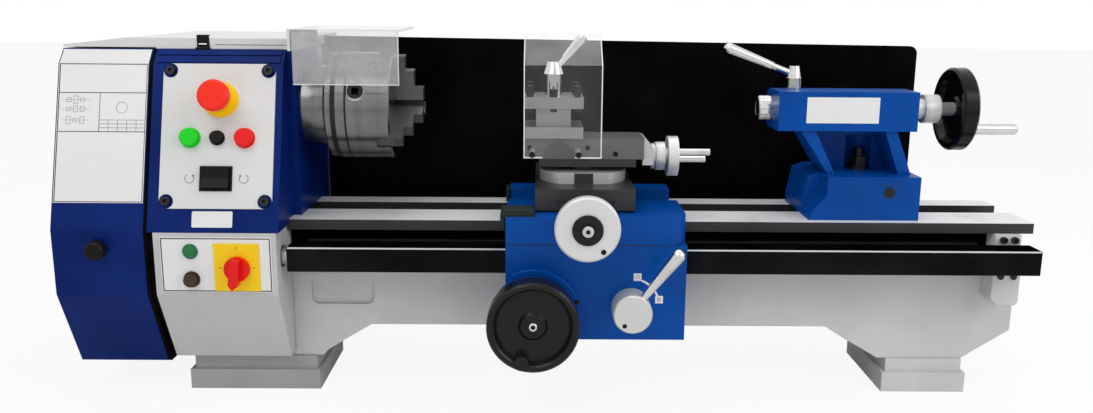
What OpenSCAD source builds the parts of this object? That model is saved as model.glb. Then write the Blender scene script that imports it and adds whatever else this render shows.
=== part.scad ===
// Bench lathe: 250 mm swing, 550 mm between centres.
// Origin at bench level, midway between the four bench bolts. X runs along the bed towards the
// tailstock, Y away from the operator, Z up. The spindle axis lies over Y = 0.

/* [Bed] */
// Height of the ways above the bench
bed_top = 210; // [195:1:230]
// Width over both ways
bed_w = 135; // [128:1:145]
// Length of the bed casting
bed_len = 1005; // [960:5:1100]
// Width of the front way
front_way_w = 59.5; // [52:0.5:62]
// Width of the back way
back_way_w = 33.5; // [28:0.5:36]
// Thickness of the way lips
lip_t = 12; // [10:0.5:13]
// Overhang of the way lips past the side walls
lip_over = 15.5; // [14:0.5:17]
// Thickness of the bed's side walls
bed_wall = 10; // [8:0.5:11]
// Height of the bed's underside between the feet
bed_under = 79; // [65:1:90]
// Thickness of the cross ribs
rib_t = 10; // [6:1:14]

/* [Feet] */
// Distance between the middles of the two feet
foot_span = 801; // [780:1:830]
// Length of the left foot along the bed
foot_left_w = 155; // [130:1:165]
// Length of the right foot along the bed
foot_right_w = 100; // [80:1:110]
// Height of a foot with its neck
foot_h = 40; // [32:1:46]
// Height of a foot below its neck
foot_base_h = 24; // [16:1:28]
// Reach of a foot in front of the spindle axis
foot_front = 60; // [54:1:66]
// Reach of a foot behind the spindle axis
foot_back = 74; // [66:1:80]
// Distance between the two bolts of one foot
bolt_pitch = 44; // [36:1:48]
// Bore of the bench bolt holes
bolt_bore = 11; // [9:0.5:13]

/* [Headstock] */
// Height of the spindle axis over the ways
centre_h = 125; // [120:1:130]
// Distance of the headstock's right face from the left end of the bed
head_len = 154; // [145:1:165]
// Height of the headstock above the ways
head_h = 192; // [180:1:205]
// Reach of the headstock behind the spindle axis
head_back = 190; // [182:1:200]
// Tilt of the control panel from upright
panel_tilt = 17.07; // [14:0.1:20]
// Reach of the lower boxes in front of the spindle axis
box_front = 115; // [114:0.5:118]
// Thickness of the top lid
lid_t = 12; // [8:1:16]
// Width of the gear cover
cover_w = 102; // [96:1:115]
// Wall of the gear cover
cover_wall = 2.5; // [2:0.5:4]

/* [Spindle and chuck] */
// Bore through the spindle
spindle_bore = 26; // [20:1:28]
// Diameter of the spindle in its bearings
spindle_d = 40; // [38:1:44]
// Outer diameter of the spindle bearings
bearing_d = 62; // [58:1:66]
// Diameter of the chuck
chuck_d = 125; // [120:1:130]
// Length of the chuck body
chuck_len = 61; // [58:1:66]
// Width of a jaw
jaw_w = 14; // [12:0.5:16]
// Pitch of the scroll thread
scroll_pitch = 6; // [5.5:0.1:6.5]
// Diameter of the key pinion
pinion_d = 18; // [15:0.5:19]

/* [Drive] */
// Module of the change gears
gear_m = 1.25; // [1.2:0.01:1.28]
// Teeth of the spindle gear
teeth_spindle = 40; // [38:1:42]
// Teeth of the idler gear
teeth_idler = 120; // [118:1:122]
// Teeth of the lead-screw gear
teeth_screw = 28; // [26:1:29]
// Radius of the spindle pulley
pulley_r = 50; // [44:1:54]
// Radius of the motor pulley
motor_pulley_r = 22; // [18:1:26]
// Diameter of the motor
motor_d = 112; // [104:1:114]
// Diameter of the lead screw
screw_d = 18; // [16:1:19]
// Height of the lead screw below the ways
screw_drop = 38; // [37:0.5:39]
// Distance of the lead screw in front of the spindle axis
screw_front = 88; // [87:0.5:89]

/* [Carriage] */
// Distance of the carriage's left side from the headstock
carriage_gap = 242; // [200:1:260]
// Length of the saddle along the bed
saddle_len = 200; // [190:1:210]
// Reach of the apron in front of the spindle axis
apron_front = 125; // [123:1:130]
// Depth of the apron below the ways
apron_drop = 123; // [116:1:128]
// Diameter of the apron handwheel
apron_wheel_d = 100; // [86:1:106]
// Teeth of the rack pinion
teeth_pinion = 14; // [13:1:14]
// Diameter of the cross-slide handwheel
cross_wheel_d = 70; // [60:1:74]
// Width of the cross slide
cross_w = 112; // [106:1:116]
// Length of the cross slide
cross_len = 185; // [170:1:190]
// Height of the cross slide
cross_h = 24; // [20:1:28]
// Length of the top slide
top_len = 139; // [132:1:144]
// Width of the top slide
top_w = 59; // [54:1:62]
// Side of the square tool post
post_w = 68; // [62:1:70]
// Height of the tool slots
slot_h = 21; // [16:0.5:25]

/* [Tailstock] */
// Distance of the tailstock base from the headstock
tail_gap = 593; // [570:1:620]
// Length of the tailstock barrel
barrel_len = 162; // [150:1:170]
// Height of the tailstock barrel
barrel_h = 45.5; // [43:0.5:50]
// Diameter of the quill
quill_d = 30; // [26:1:32]
// Bore of the quill's mouth
quill_bore = 17.8; // [14:0.1:18]
// Diameter of the tailstock handwheel
tail_wheel_d = 98; // [88:1:104]

/* [Guards] */
// Length of the splash guard
splash_len = 767; // [740:1:790]
// Height of the splash guard's top above the ways
splash_h = 202; // [180:1:210]
// Thickness of the splash guard's sheet
splash_t = 2; // [1.5:0.5:3]
// Width of the chuck guard
guard_w = 117; // [105:1:122]
// Thickness of the clear sheets
sheet_t = 3; // [2:0.5:4]

/* [Hidden] */

$fn = 64;
// Running clearance of shafts in their bores
fit = 0.05;
// Clearance of pieces that slide past or turn near each other
gap = 0.3;
// Small overshoot of a cut past the face it opens
eps = 1;

// Places along the machine
bed_left = -495;
bed_right = bed_left + bed_len;
head_right = bed_left + head_len;
spindle_z = bed_top + centre_h;
head_top = bed_top + head_h;
lip_bottom = bed_top - lip_t;
wall_front = bed_w / 2 - lip_over;
screw_z = bed_top - screw_drop;
carriage_x = head_right + carriage_gap;
tail_x = head_right + tail_gap;

// Side profile shared by the control box, the gear cover and the gear back plate
chamfer_front = 60;
chamfer_z = head_top - 16;
slope_foot_z = chamfer_z - (box_front - chamfer_front) / tan(panel_tilt);
bevel_z = 133;
box_bottom = 39;
bevel_front = 70;

// Gear train
gear_x = bed_left - 53;
gear_t = 12;
r_spindle_gear = gear_m * teeth_spindle / 2;
r_idler_gear = gear_m * teeth_idler / 2;
r_screw_gear = gear_m * teeth_screw / 2;
train = [-screw_front, screw_z - spindle_z];
train_len = norm(train);
reach_a = r_spindle_gear + r_idler_gear + 0.15;
reach_b = r_screw_gear + r_idler_gear + 0.15;
along = (reach_a * reach_a - reach_b * reach_b + train_len * train_len) / (2 * train_len);
aside = sqrt(reach_a * reach_a - along * along);
idler_y = (train[0] * along - train[1] * aside) / train_len;
idler_z = spindle_z + (train[1] * along + train[0] * aside) / train_len;
pulley_x = bed_left - 34;
pulley_t = 25;
belt_t = 4;
motor_y = 128;
motor_z = 150;
motor_len = 138;
motor_shaft_r = 8;

// Spindle bearings and the headstock's walls
bearing_w = 15;
head_wall = 16;
nose_ring_t = 4;

// Chuck
chuck_right = head_right + 108;
chuck_left = chuck_right - chuck_len;
back_t = 12;
ring_t = 14;
nose_t = 7;
ring_r = 44;
jaw_slot = 16.5;
cavity_r = 56;
scroll_t = 8;
thread_h = 4;
scroll_left = chuck_right - jaw_slot - thread_h - scroll_t;
pinion_x = scroll_left - pinion_d / 2 - 1;
jaw_angles = [81, -39, 201];
pinion_angle = 21;

// Carriage
saddle_top = 17;
rack_z = bed_top - 38;
rack_m = 1.5;
r_pinion = rack_m * teeth_pinion / 2;
drive_teeth = 40;
wheel_teeth = 20;
r_drive = rack_m * drive_teeth / 2;
r_wheel_gear = rack_m * wheel_teeth / 2;
apron_wheel_x = 31;
apron_wheel_z = -93;
pinion_z = rack_z - r_pinion - 0.15;
pinion_shift = sqrt(pow(r_drive + r_wheel_gear + 0.2, 2) - pow(pinion_z - bed_top - apron_wheel_z, 2));
rack_back = wall_front;
lever_x = 139;
lever_z = -84;
lever_throw = 7;
cross_x = 88;
cross_screw_z = 13;
slide_z = saddle_top + 2;
swivel_x = 87.5;
swivel_y = -25;
swivel_z = slide_z + cross_h;
swivel_t = 13;
swivel_r = 6.5;
top_z = swivel_z + 18;
top_base_h = 9;
top_h = 24;
post_z = top_z + top_base_h + top_h;
post_x = 52.5;
plate_t = 13;
post_top = post_z + 2 * plate_t + slot_h;
wheel_in = 32;

// Tailstock
barrel_x = -38;
base_h = 51;
quill_out = 17;
tail_screw_x = barrel_x + barrel_len;

// Small helpers: boxes by their corners, and cylinders along the three axes
module block(x0, x1, y0, y1, z0, z1) {
    translate([x0, y0, z0]) cube([x1 - x0, y1 - y0, z1 - z0]);
}

module xcyl(r, x0, x1, y = 0, z = 0, r2 = -1) {
    translate([x0, y, z]) rotate([0, 90, 0])
        cylinder(h = x1 - x0, r1 = r, r2 = r2 < 0 ? r : r2);
}

module ycyl(r, y0, y1, x = 0, z = 0, r2 = -1) {
    translate([x, y1, z]) rotate([90, 0, 0])
        cylinder(h = y1 - y0, r1 = r2 < 0 ? r : r2, r2 = r);
}

module zcyl(r, z0, z1, x = 0, y = 0, r2 = -1) {
    translate([x, y, z0]) cylinder(h = z1 - z0, r1 = r, r2 = r2 < 0 ? r : r2);
}

// An outline of [y, z] points stretched along X
module along_x(points, x0, x1) {
    translate([x0, 0, 0]) rotate([90, 0, 90]) linear_extrude(x1 - x0) polygon(points);
}

// An outline of [x, z] points stretched along Y
module along_y(points, y0, y1) {
    translate([0, y1, 0]) rotate([90, 0, 0]) linear_extrude(y1 - y0) polygon(points);
}

// A rectangle with round corners, centred
module round_rect(w, h, r) {
    square([w - 2 * r, h], center = true);
    square([w, h - 2 * r], center = true);
    for (sx = [-1, 1], sy = [-1, 1])
        translate([sx * (w / 2 - r), sy * (h / 2 - r)]) circle(r, $fn = 32);
}

// A spur gear outline: each tooth is a trapezium from root to tip
function gear_points(teeth, m) = [
    for (i = [0:teeth - 1], k = [0:3])
        let (
            r = m * teeth / 2 + [-1.25, 1, 1, -1.25][k] * m,
            a = i * 360 / teeth - [1.5, 0.45, -0.45, -1.5][k] * 90 / teeth
        )
        [r * cos(a), r * sin(a)]
];

module gear(teeth, m, t, bore) {
    difference() {
        linear_extrude(t) polygon(gear_points(teeth, m));
        translate([0, 0, -eps]) cylinder(h = t + 2 * eps, r = bore);
    }
}

// A gear on an X axis, turned by the given angle
module xgear(teeth, m, x0, t, bore, y, z, turn = 0) {
    translate([x0, y, z]) rotate([90, 0, 90]) rotate([0, 0, turn]) gear(teeth, m, t, bore);
}

// A gear on a Y axis
module ygear(teeth, m, y0, t, bore, x, z, turn = 0) {
    translate([x, y0 + t, z]) rotate([90, 0, 0]) rotate([0, 0, turn]) gear(teeth, m, t, bore);
}

// A tapered machine lever with a rounded tip, pointing along +Z
module machine_lever(len, r_foot, r_tip) {
    cylinder(h = len - r_tip, r1 = r_foot, r2 = r_tip);
    translate([0, 0, len - r_tip]) sphere(r_tip);
}

// Bed and what is fixed to it

leg_l = -foot_span / 2;
leg_r = foot_span / 2;

// Outline of a bed side wall, its legs flaring down to the feet
bed_side = [
    [bed_left, lip_bottom],
    [bed_left, foot_h + 20],
    [leg_l - foot_left_w / 2 + 6, foot_h],
    [leg_l + foot_left_w / 2 + 3, foot_h],
    [leg_l + foot_left_w / 2 + 8, foot_h + 6],
    [leg_l + foot_left_w / 2 + 30, foot_h + 20],
    [leg_l + foot_left_w / 2 + 62, bed_under],
    [leg_r - foot_right_w / 2 - 70, bed_under],
    [leg_r - foot_right_w / 2 - 46, bed_under - 15],
    [leg_r - foot_right_w / 2 - 5, foot_h],
    [leg_r + foot_right_w / 2 - 4, foot_h],
    [bed_right - 8, bed_under - 3],
    [bed_right - 8, lip_bottom]
];

module bed() {
    color("gainsboro") difference() {
        union() {
            block(bed_left, bed_right, -bed_w / 2, front_way_w - bed_w / 2, lip_bottom, bed_top);
            block(bed_left, bed_right, bed_w / 2 - back_way_w, bed_w / 2, lip_bottom, bed_top);
            along_y(bed_side, -wall_front, bed_wall - wall_front);
            along_y(bed_side, wall_front - bed_wall, wall_front);
            for (x = [leg_l, -170, 0, 170, leg_r - 40])
                block(x - rib_t / 2, x + rib_t / 2, eps - wall_front, wall_front - eps, bed_under, 150);
            block(bed_left, bed_left + rib_t, eps - wall_front, wall_front - eps, bed_under, bed_top);
            block(bed_right - 8 - rib_t, bed_right - 8, eps - wall_front, wall_front - eps,
                bed_under, lip_bottom);
            for (leg = [[leg_l, foot_left_w], [leg_r, foot_right_w]])
                block(leg[0] - leg[1] / 2 + 8, leg[0] + leg[1] / 2 - 8, eps - wall_front,
                    wall_front - eps, foot_h, foot_h + 12);
        }
        for (x = [leg_l, leg_r], y = [-1, 1])
            zcyl(bolt_bore / 2, foot_h - eps, foot_h + 13, x, y * bolt_pitch / 2);
        // Cast recess in the front wall beside the electrical box
        translate([-294, -wall_front + 4, 121]) rotate([90, 0, 0])
            linear_extrude(4 + eps) round_rect(74, 34, 9);
    }
}

module feet() {
    color("gainsboro") for (foot = [[leg_l, foot_left_w], [leg_r, foot_right_w]]) difference() {
        union() {
            block(foot[0] - foot[1] / 2, foot[0] + foot[1] / 2, -foot_front, foot_back, 0, foot_base_h);
            block(foot[0] - foot[1] / 2 + 5, foot[0] + foot[1] / 2 - 4, 5 - foot_front,
                foot_back - 5, foot_base_h - eps, foot_h);
        }
        for (y = [-1, 1])
            zcyl(bolt_bore / 2, -eps, foot_h + eps, foot[0], y * bolt_pitch / 2);
    }
}

// Rack teeth point down under the front way; the rack is screwed to the bed's front wall
rack_left = head_right + 10;
rack_right = bed_right - 60;
rack_pitch = PI * rack_m;
pinion_x0 = carriage_x + apron_wheel_x + pinion_shift;
rack_first = pinion_x0 - floor((pinion_x0 - rack_left - 4) / rack_pitch) * rack_pitch;
rack_teeth = floor((rack_right - rack_first - 4) / rack_pitch);

module feed_rack() {
    tooth = [[-1.75, 1.9], [-0.55, -1.5], [0.55, -1.5], [1.75, 1.9]];
    color("silver") union() {
        block(rack_left, rack_right, -rack_back - 8, -rack_back, rack_z + 1.8, rack_z + 13);
        for (i = [0:rack_teeth - 1])
            along_y([for (p = tooth) [rack_first + (i + 0.5) * rack_pitch + p[0], rack_z + p[1]]],
                -rack_back - 8, -rack_back);
    }
}

// An angle of sheet over the lead screw, open below so that the half nut can reach it
cover_front = 105;
cover_left = head_right - 4;
cover_right = bed_right - 6;
cover_top = bed_top - 24;
cover_drop = 28;

module lead_screw_cover() {
    color("black") along_x([
        [-cover_front, cover_top],
        [-cover_front, cover_top - cover_drop],
        [1.5 - cover_front, cover_top - cover_drop],
        [1.5 - cover_front, cover_top - 1.5],
        [-wall_front - 22, cover_top - 1.5],
        [-wall_front - 22, cover_top]
    ], cover_left, cover_right);
}

bracket_x = bed_right - 46;
bracket_w = 30;

module bearings() {
    for (x = [bed_left + 1, head_right - bearing_w])
        color("silver") difference() {
            xcyl(bearing_d / 2, x, x + bearing_w, 0, spindle_z);
            xcyl(spindle_d / 2 + fit, x - eps, x + bearing_w + eps, 0, spindle_z);
        }
    color("gainsboro") difference() {
        union() {
            block(bracket_x, bracket_x + bracket_w, -screw_front - screw_d / 2 - 4, -wall_front,
                screw_z - screw_d / 2 - 5, cover_top - 1.5 - gap);
            block(bracket_x, bracket_x + bracket_w, gap - wall_front - 22, -wall_front,
                screw_z, lip_bottom);
        }
        xcyl(screw_d / 2 + fit, bracket_x - eps, bracket_x + bracket_w + eps, -screw_front, screw_z);
    }
}

module headstock() {
    color("royalblue") difference() {
        union() {
            block(bed_left, head_right, -44, head_back, bed_top, head_top);
            along_x([[bed_w / 2 + gap, bed_top + eps], [bed_w / 2 + gap, motor_z - 62],
                [bed_w / 2 + 20, motor_z - 78], [head_back - 16, motor_z - 78],
                [head_back, motor_z - 62], [head_back, bed_top + eps]], bed_left, head_right);
            xcyl(42, head_right - eps, head_right + nose_ring_t, 0, spindle_z);
            // Boss of the chuck guard's pivot
            block(head_right - eps, head_right + 0.8, guard_pivot_y - 9, guard_pivot_y + 9,
                guard_pivot_z - 9, guard_pivot_z + 7);
        }
        xcyl(bearing_d / 2, bed_left - eps, bed_left + head_wall + eps, 0, spindle_z);
        xcyl(bearing_d / 2, head_right - head_wall - eps, head_right + nose_ring_t + eps, 0, spindle_z);
        // Hollow of the casting, closed by the lid
        block(bed_left + head_wall, head_right - head_wall, head_wall - 48, head_back - 14,
            bed_top + 12, head_top + eps);
        // Motor bay, open below
        xcyl(motor_d / 2 + gap, bed_left + 4, head_right - 8, motor_y, motor_z);
        block(bed_left + 4, head_right - 8, motor_y - 30, motor_y + 30, motor_z - 90, motor_z);
        xcyl(12, bed_left - eps, bed_left + 6, motor_y, motor_z);
        xcyl(5 + fit, head_right - 12, head_right + 2, guard_pivot_y, guard_pivot_z);
    }
}

// The lid lies over the headstock and reaches over the gear cover, sloping down at its left end
module headstock_lid() {
    left = bed_left - 4 - cover_w;
    color("whitesmoke") along_y([
        [head_right, head_top], [head_right, head_top + lid_t], [left + 70, head_top + lid_t],
        [left, head_top + lid_t - 8], [left, head_top + 1.5], [bed_left - 2, head_top + 1.5],
        [bed_left - 2, head_top]
    ], -45, head_back);
}

// Outline of the covers at the headstock's left end
function side_outline(inset = 0) = [
    [-45 + inset, head_top - inset],
    [-chamfer_front + inset, chamfer_z - inset * 0.4],
    [-box_front + inset, slope_foot_z],
    [-box_front + inset, bevel_z],
    [-bevel_front + inset, box_bottom + inset],
    [head_back - 40 - inset * 0.4, box_bottom + inset],
    [head_back - inset, box_bottom + 70],
    [head_back - inset, head_top - inset]
];

// Outline of the electrical box, clear of the bed's front way
function lower_outline(inset, back) = [
    [-box_front + inset, slope_foot_z - 2 - gap - inset],
    [-box_front + inset, bevel_z],
    [-bevel_front + inset, box_bottom + 6 + inset],
    [-box_back + back, box_bottom + 6 + inset],
    [-box_back + back, lip_bottom - gap - inset],
    [-bed_w / 2 - 1 - inset, lip_bottom - gap - inset],
    [-bed_w / 2 - 1 - inset, slope_foot_z - 2 - gap - inset]
];

module gear_backplate() {
    color("black") difference() {
        union() {
            along_x(side_outline(), bed_left - 4, bed_left);
            along_x(lower_outline(2, 0), bed_left - 0.5, box_left - gap);
            // Hinge leaves of the gear cover, screwed to the headstock's back
            for (z = hinge_z) {
                block(hinge_x, bed_left + 22, head_back, head_back + 3, z + hinge_h + gap, z + 2 * hinge_h);
                zcyl(hinge_r, z + hinge_h + gap, z + 2 * hinge_h, hinge_x, hinge_y);
                zcyl(hinge_pin_r, z, z + hinge_h + eps, hinge_x, hinge_y);
            }
        }
        xcyl(bearing_d / 2, bed_left - 5, bed_left + eps, 0, spindle_z);
        xcyl(12, bed_left - 5, bed_left + eps, motor_y, motor_z);
        xcyl(screw_d / 2 + 2, bed_left - 5, bed_left + 8, -screw_front, screw_z);
    }
}

// Cast arm that carries the idler on its stud
module gear_quadrant() {
    x0 = bed_left - 4 - 7;
    dy = idler_y + screw_front;
    dz = idler_z - screw_z;
    color("dimgray") {
        translate([x0, -screw_front, screw_z]) rotate([90, 0, 90]) linear_extrude(7) difference() {
            union() {
                circle(18);
                translate([dy, dz]) circle(12);
                rotate(atan2(dz, dy)) translate([0, -9]) square([norm([dy, dz]), 18]);
            }
            circle(screw_d / 2 + fit);
        }
        xcyl(8, gear_x - 6, x0 + 1, idler_y, idler_z);
        xcyl(11, gear_x + gear_t + gap, x0 + 1, idler_y, idler_z);
    }
}

box_left = bed_left + 6;
box_right = head_right - 12;
box_back = wall_front + 2;

// Outline of the upper box; its inner outline runs past the back, which stays open
function upper_outline(inset) = [
    [-44 + inset * 2, head_top - inset],
    [-45 + inset * 0.7, head_top - inset],
    [-chamfer_front + inset, chamfer_z - inset * 0.4],
    [-box_front + inset, slope_foot_z + inset * 0.5],
    [-box_front + inset, slope_foot_z - 2 + inset],
    [-bed_w / 2 - 1 - inset, slope_foot_z - 2 + inset],
    [-bed_w / 2 - 1 - inset, bed_top + gap + inset],
    [-44 + inset * 2, bed_top + gap + inset]
];

module control_box() {
    color("royalblue") difference() {
        along_x(upper_outline(0), bed_left, head_right - 9);
        along_x(upper_outline(box_wall), bed_left + box_wall, head_right - 9 - box_wall);
        for (p = [[estop_x, estop_s, estop_r], [start_x, row_s, button_r], [stop_x, row_s, button_r]])
            on_slope() translate([p[0], -p[1], -10]) cylinder(h = 12, r = p[2] + gap);
    }
}

// Frame of the sloping panel: X along the machine, Y up the slope, Z out of the panel
module on_slope() {
    translate([0, -chamfer_front, chamfer_z]) rotate([90 - panel_tilt, 0, 0]) children();
}

panel_x = -420;
panel_w = 125;
panel_h = 163;
panel_t = 2;
screw_inset = 8;

module control_panel() {
    color("whitesmoke") on_slope() translate([panel_x, -panel_h / 2, 0]) difference() {
        linear_extrude(panel_t) difference() {
            square([panel_w, panel_h], center = true);
            for (sx = [-1, 1], sy = [-1, 1])
                translate([sx * (panel_w / 2 - screw_inset), sy * (panel_h / 2 - screw_inset)]) {
                    circle(8);
                    translate([sx * 8, sy * 8]) square(16, center = true);
                }
        }
        translate([0, panel_h / 2 - switch_s, -eps])
            linear_extrude(panel_t + 2 * eps) square([rocker_w + 1, rocker_h + 1], center = true);
        for (p = [[estop_x, estop_s, estop_r], [start_x, row_s, button_r], [stop_x, row_s, button_r]])
            translate([p[0] - panel_x, panel_h / 2 - p[1], -eps])
                cylinder(h = panel_t + 2 * eps, r = p[2] + gap);
    }
    color("gold") on_slope() translate([estop_x, -estop_s, panel_t]) difference() {
        union() {
            cylinder(h = 3, r = 20);
            cylinder(h = 9, r = 15);
        }
        translate([0, 0, -eps]) cylinder(h = 12, r = estop_r + gap);
    }
}

estop_r = 11;
button_r = 8;
box_wall = 3;
estop_x = -418;
estop_s = 41;
row_s = 84;
start_x = -450;
stop_x = -389.5;
fuse_x = -420;
switch_s = 129.5;
rocker_w = 32;
rocker_h = 24;
lower_panel_z = 168.5;
lamp_x = -448;
lamp_z = 184;
lower_fuse_z = 152;
knob_x = -396;
knob_z = 165;

// Each button's stem passes through the panel and the wall of the box
module estop_button() {
    color("red") on_slope() translate([estop_x, -estop_s, 0]) {
        translate([0, 0, -12]) cylinder(h = 34, r = estop_r);
        translate([0, 0, 20]) cylinder(h = 4, r1 = 14, r2 = 17.5);
        translate([0, 0, 24]) cylinder(h = 5, r = 17.5);
        translate([0, 0, 29]) cylinder(h = 2.5, r1 = 17.5, r2 = 14.5);
    }
}

module push_button(x, s) {
    on_slope() translate([x, -s, 0]) {
        translate([0, 0, -8]) cylinder(h = 14, r = button_r);
        translate([0, 0, panel_t + 3]) cylinder(h = 5, r = 10);
        translate([0, 0, panel_t + 8]) cylinder(h = 1.2, r1 = 10, r2 = 8.8);
    }
}

module start_button() {
    color("limegreen") push_button(start_x, row_s);
}

module stop_button() {
    color("red") push_button(stop_x, row_s);
}

module direction_switch() {
    color("black") on_slope() translate([panel_x, -switch_s, 3]) rotate([0, 90, 0]) {
        linear_extrude(rocker_w - 2, center = true)
            polygon([[-2.6, -rocker_h / 2 + 1], [-5, -rocker_h / 2 + 1], [-3.4, 0],
                [-5, rocker_h / 2 - 1], [-2.6, rocker_h / 2 - 1], [0, 3], [0, -3]]);
        cylinder(h = rocker_w - 2, r = 2.7, center = true);
    }
}

module lamp_and_fuses() {
    color("black") on_slope() translate([fuse_x, -row_s, panel_t]) {
        cylinder(h = 2, r = 8.3);
        cylinder(h = 8, r = 6.8);
        translate([0, 0, 8]) cylinder(h = 1.2, r1 = 6.8, r2 = 5.6);
    }
    color("saddlebrown") {
        ycyl(9, -box_front - 3.5, -box_front - 1.5, lamp_x, lower_fuse_z);
        ycyl(7, -box_front - 10, -box_front - 3.5, lamp_x, lower_fuse_z);
    }
    color("green") {
        ycyl(7.4, -box_front - 4.5, -box_front - 1.5, lamp_x, lamp_z);
        ycyl(5, -box_front - 7, -box_front - 4.5, lamp_x, lamp_z, 6.4);
    }
    // Bezel of the rocker switch
    color("black") on_slope() translate([panel_x, -switch_s, panel_t]) linear_extrude(1.2)
        difference() {
            square([rocker_w + 4, rocker_h + 4], center = true);
            square([rocker_w - 1, rocker_h - 1], center = true);
        }
}

module electrical_box() {
    middle = (box_left + box_right) / 2;
    color("gainsboro") difference() {
        union() {
            along_x(lower_outline(0, 0), box_left, box_right);
            // Thin lower panel
            block(panel_x - 61.5, panel_x + 61.5, -box_front - 1.5, -box_front + 0.5,
                lower_panel_z - 31.5, lower_panel_z + 31.5);
        }
        along_x(lower_outline(3, 4), box_left + 3, middle - 2);
        along_x(lower_outline(3, 4), middle + 2, box_right - 3);
        xcyl(screw_d / 2 + 4, box_left - eps, box_right + eps, -screw_front, screw_z);
        ycyl(5 + fit, -box_front - 4, -box_front + 5, knob_x, knob_z);
    }
    // Plate under the switch knob
    color("gold") difference() {
        block(knob_x - 26, knob_x + 24, -box_front - 3.5, -box_front - 1.5, 139, 193);
        ycyl(5 + gap, -box_front - 4, -box_front - 1, knob_x, knob_z);
    }
}

module main_switch_knob() {
    color("red") {
        ycyl(5, -box_front - 6, -box_front + 8, knob_x, knob_z);
        ycyl(14, -box_front - 9, -box_front - 4, knob_x, knob_z);
        translate([knob_x, 0, knob_z]) rotate([0, 8, 0])
            along_y([[-4, 12.5], [4, 12.5], [5.5, -16], [0, -22], [-5.5, -16]],
                -box_front - 19, -box_front - 9);
    }
}

module motor() {
    x0 = bed_left + 6;
    color("dimgray") difference() {
        union() {
            xcyl(motor_d / 2 - 2, x0, x0 + motor_len, motor_y, motor_z);
            for (a = [0:15:345])
                translate([0, motor_y, motor_z]) rotate([a, 0, 0])
                    block(x0 + 12, x0 + motor_len - 14, motor_d / 2 - 3, motor_d / 2, -1.2, 1.2);
        }
        xcyl(motor_shaft_r + fit, x0 - eps, x0 + 30, motor_y, motor_z);
    }
}

// Belt around two pulleys: two arcs and the two straight runs that touch them
span = [motor_y, motor_z - spindle_z];
span_len = norm(span);
wrap = asin((pulley_r - motor_pulley_r) / span_len);
span_dir = atan2(span[1], span[0]);

// A unit step in the given direction
function dir_of(a) = [cos(a), sin(a)];

module belt_shape(grow) {
    polygon(concat(
        [for (i = [0:24]) (pulley_r + grow) * dir_of(90 - wrap + i * (180 + 2 * wrap) / 24)],
        [for (i = [0:16]) [span_len, 0] + (motor_pulley_r + grow)
            * dir_of(wrap - 90 + i * (180 - 2 * wrap) / 16)]
    ));
}

module drive_belt() {
    color("black") translate([pulley_x + 4, 0, spindle_z]) rotate([90, 0, 90])
        rotate([0, 0, span_dir]) linear_extrude(pulley_t - 8) difference() {
            belt_shape(belt_t);
            belt_shape(gap);
        }
}

module cable_gland() {
    color("black") {
        ycyl(11, head_back, head_back + 6, bed_left + 40, 260);
        difference() {
            ycyl(8, head_back + 6, head_back + 18, bed_left + 40, 260);
            ycyl(4, head_back + 8, head_back + 19, bed_left + 40, 260);
        }
    }
}

// Sheet behind the bed, its lower flange screwed to the bed's back wall
splash_y = 113.5;
splash_x = head_right + gap;
splash_bottom = 165;

module splash_guard() {
    top = bed_top + splash_h;
    r = 10;
    right = splash_x + splash_len;
    color("black") {
        translate([0, splash_y + splash_t, 0]) rotate([90, 0, 0]) linear_extrude(splash_t) {
            polygon([[splash_x, splash_bottom], [splash_x, top], [right - r, top - 8],
                [right, top - 8 - r], [right, splash_bottom]]);
            translate([right - r, top - 8 - r]) circle(r);
        }
        block(splash_x + 20, right, wall_front, splash_y + splash_t, splash_bottom,
            splash_bottom + splash_t);
    }
}

module socket_screws() {
    color("dimgray") {
        on_slope() for (sx = [-1, 1], s = [screw_inset, panel_h - screw_inset])
            translate([panel_x + sx * (panel_w / 2 - screw_inset), -s, 0]) difference() {
                cylinder(h = 5, r = 5);
                translate([0, 0, 2]) cylinder(h = 4, r = 2.6, $fn = 6);
            }
        for (x = [bracket_x + 9, bracket_x + bracket_w - 8])
            difference() {
                ycyl(4, -wall_front - 26, -wall_front - 22 + gap, x, bed_top - 18);
                translate([x, -wall_front - 24, bed_top - 18]) rotate([90, 0, 0])
                    cylinder(h = 4, r = 2, $fn = 6);
            }
    }
}

// Gear cover, hinged at its back edge, open towards the headstock
hinge_y = head_back + 5;
hinge_r = 4;
hinge_pin_r = 2;
hinge_h = 28;
hinge_z = [125, 300];
cover_right_x = bed_left - 4 - gap;
hinge_x = cover_right_x;

module gear_cover() {
    x0 = bed_left - 4 - cover_w;
    color("navy") {
        difference() {
            along_x(side_outline(), x0, cover_right_x);
            along_x(side_outline(cover_wall), x0 + cover_wall, cover_right_x + eps);
            ycyl(4 + fit, -box_front - eps, -box_front + 4, cover_knob_x, cover_knob_z);
        }
        for (z = hinge_z)
            difference() {
                union() {
                    zcyl(hinge_r, z, z + hinge_h, hinge_x, hinge_y);
                    block(hinge_x - 14, hinge_x, head_back - 0.5, hinge_y, z, z + hinge_h);
                }
                zcyl(hinge_pin_r + fit, z - eps, z + hinge_h + eps, hinge_x, hinge_y);
            }
    }
}

cover_knob_x = bed_left - 4 - cover_w / 2;
cover_knob_z = 186;

module cover_knob() {
    color("black") {
        ycyl(4, -box_front - 2, -box_front + 8, cover_knob_x, cover_knob_z);
        ycyl(10.5, -box_front - 12, -box_front - gap, cover_knob_x, cover_knob_z);
        ycyl(8.5, -box_front - 14, -box_front - 12, cover_knob_x, cover_knob_z, 10.5);
        // Latch bar behind the cover's front wall
        block(cover_knob_x - 5, cover_knob_x + 5, -box_front + 5, -box_front + 8, cover_knob_z - 22,
            cover_knob_z + 5);
    }
}

// Spindle, belt pulley, gears and chuck

spindle_left = gear_x - 14;

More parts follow.
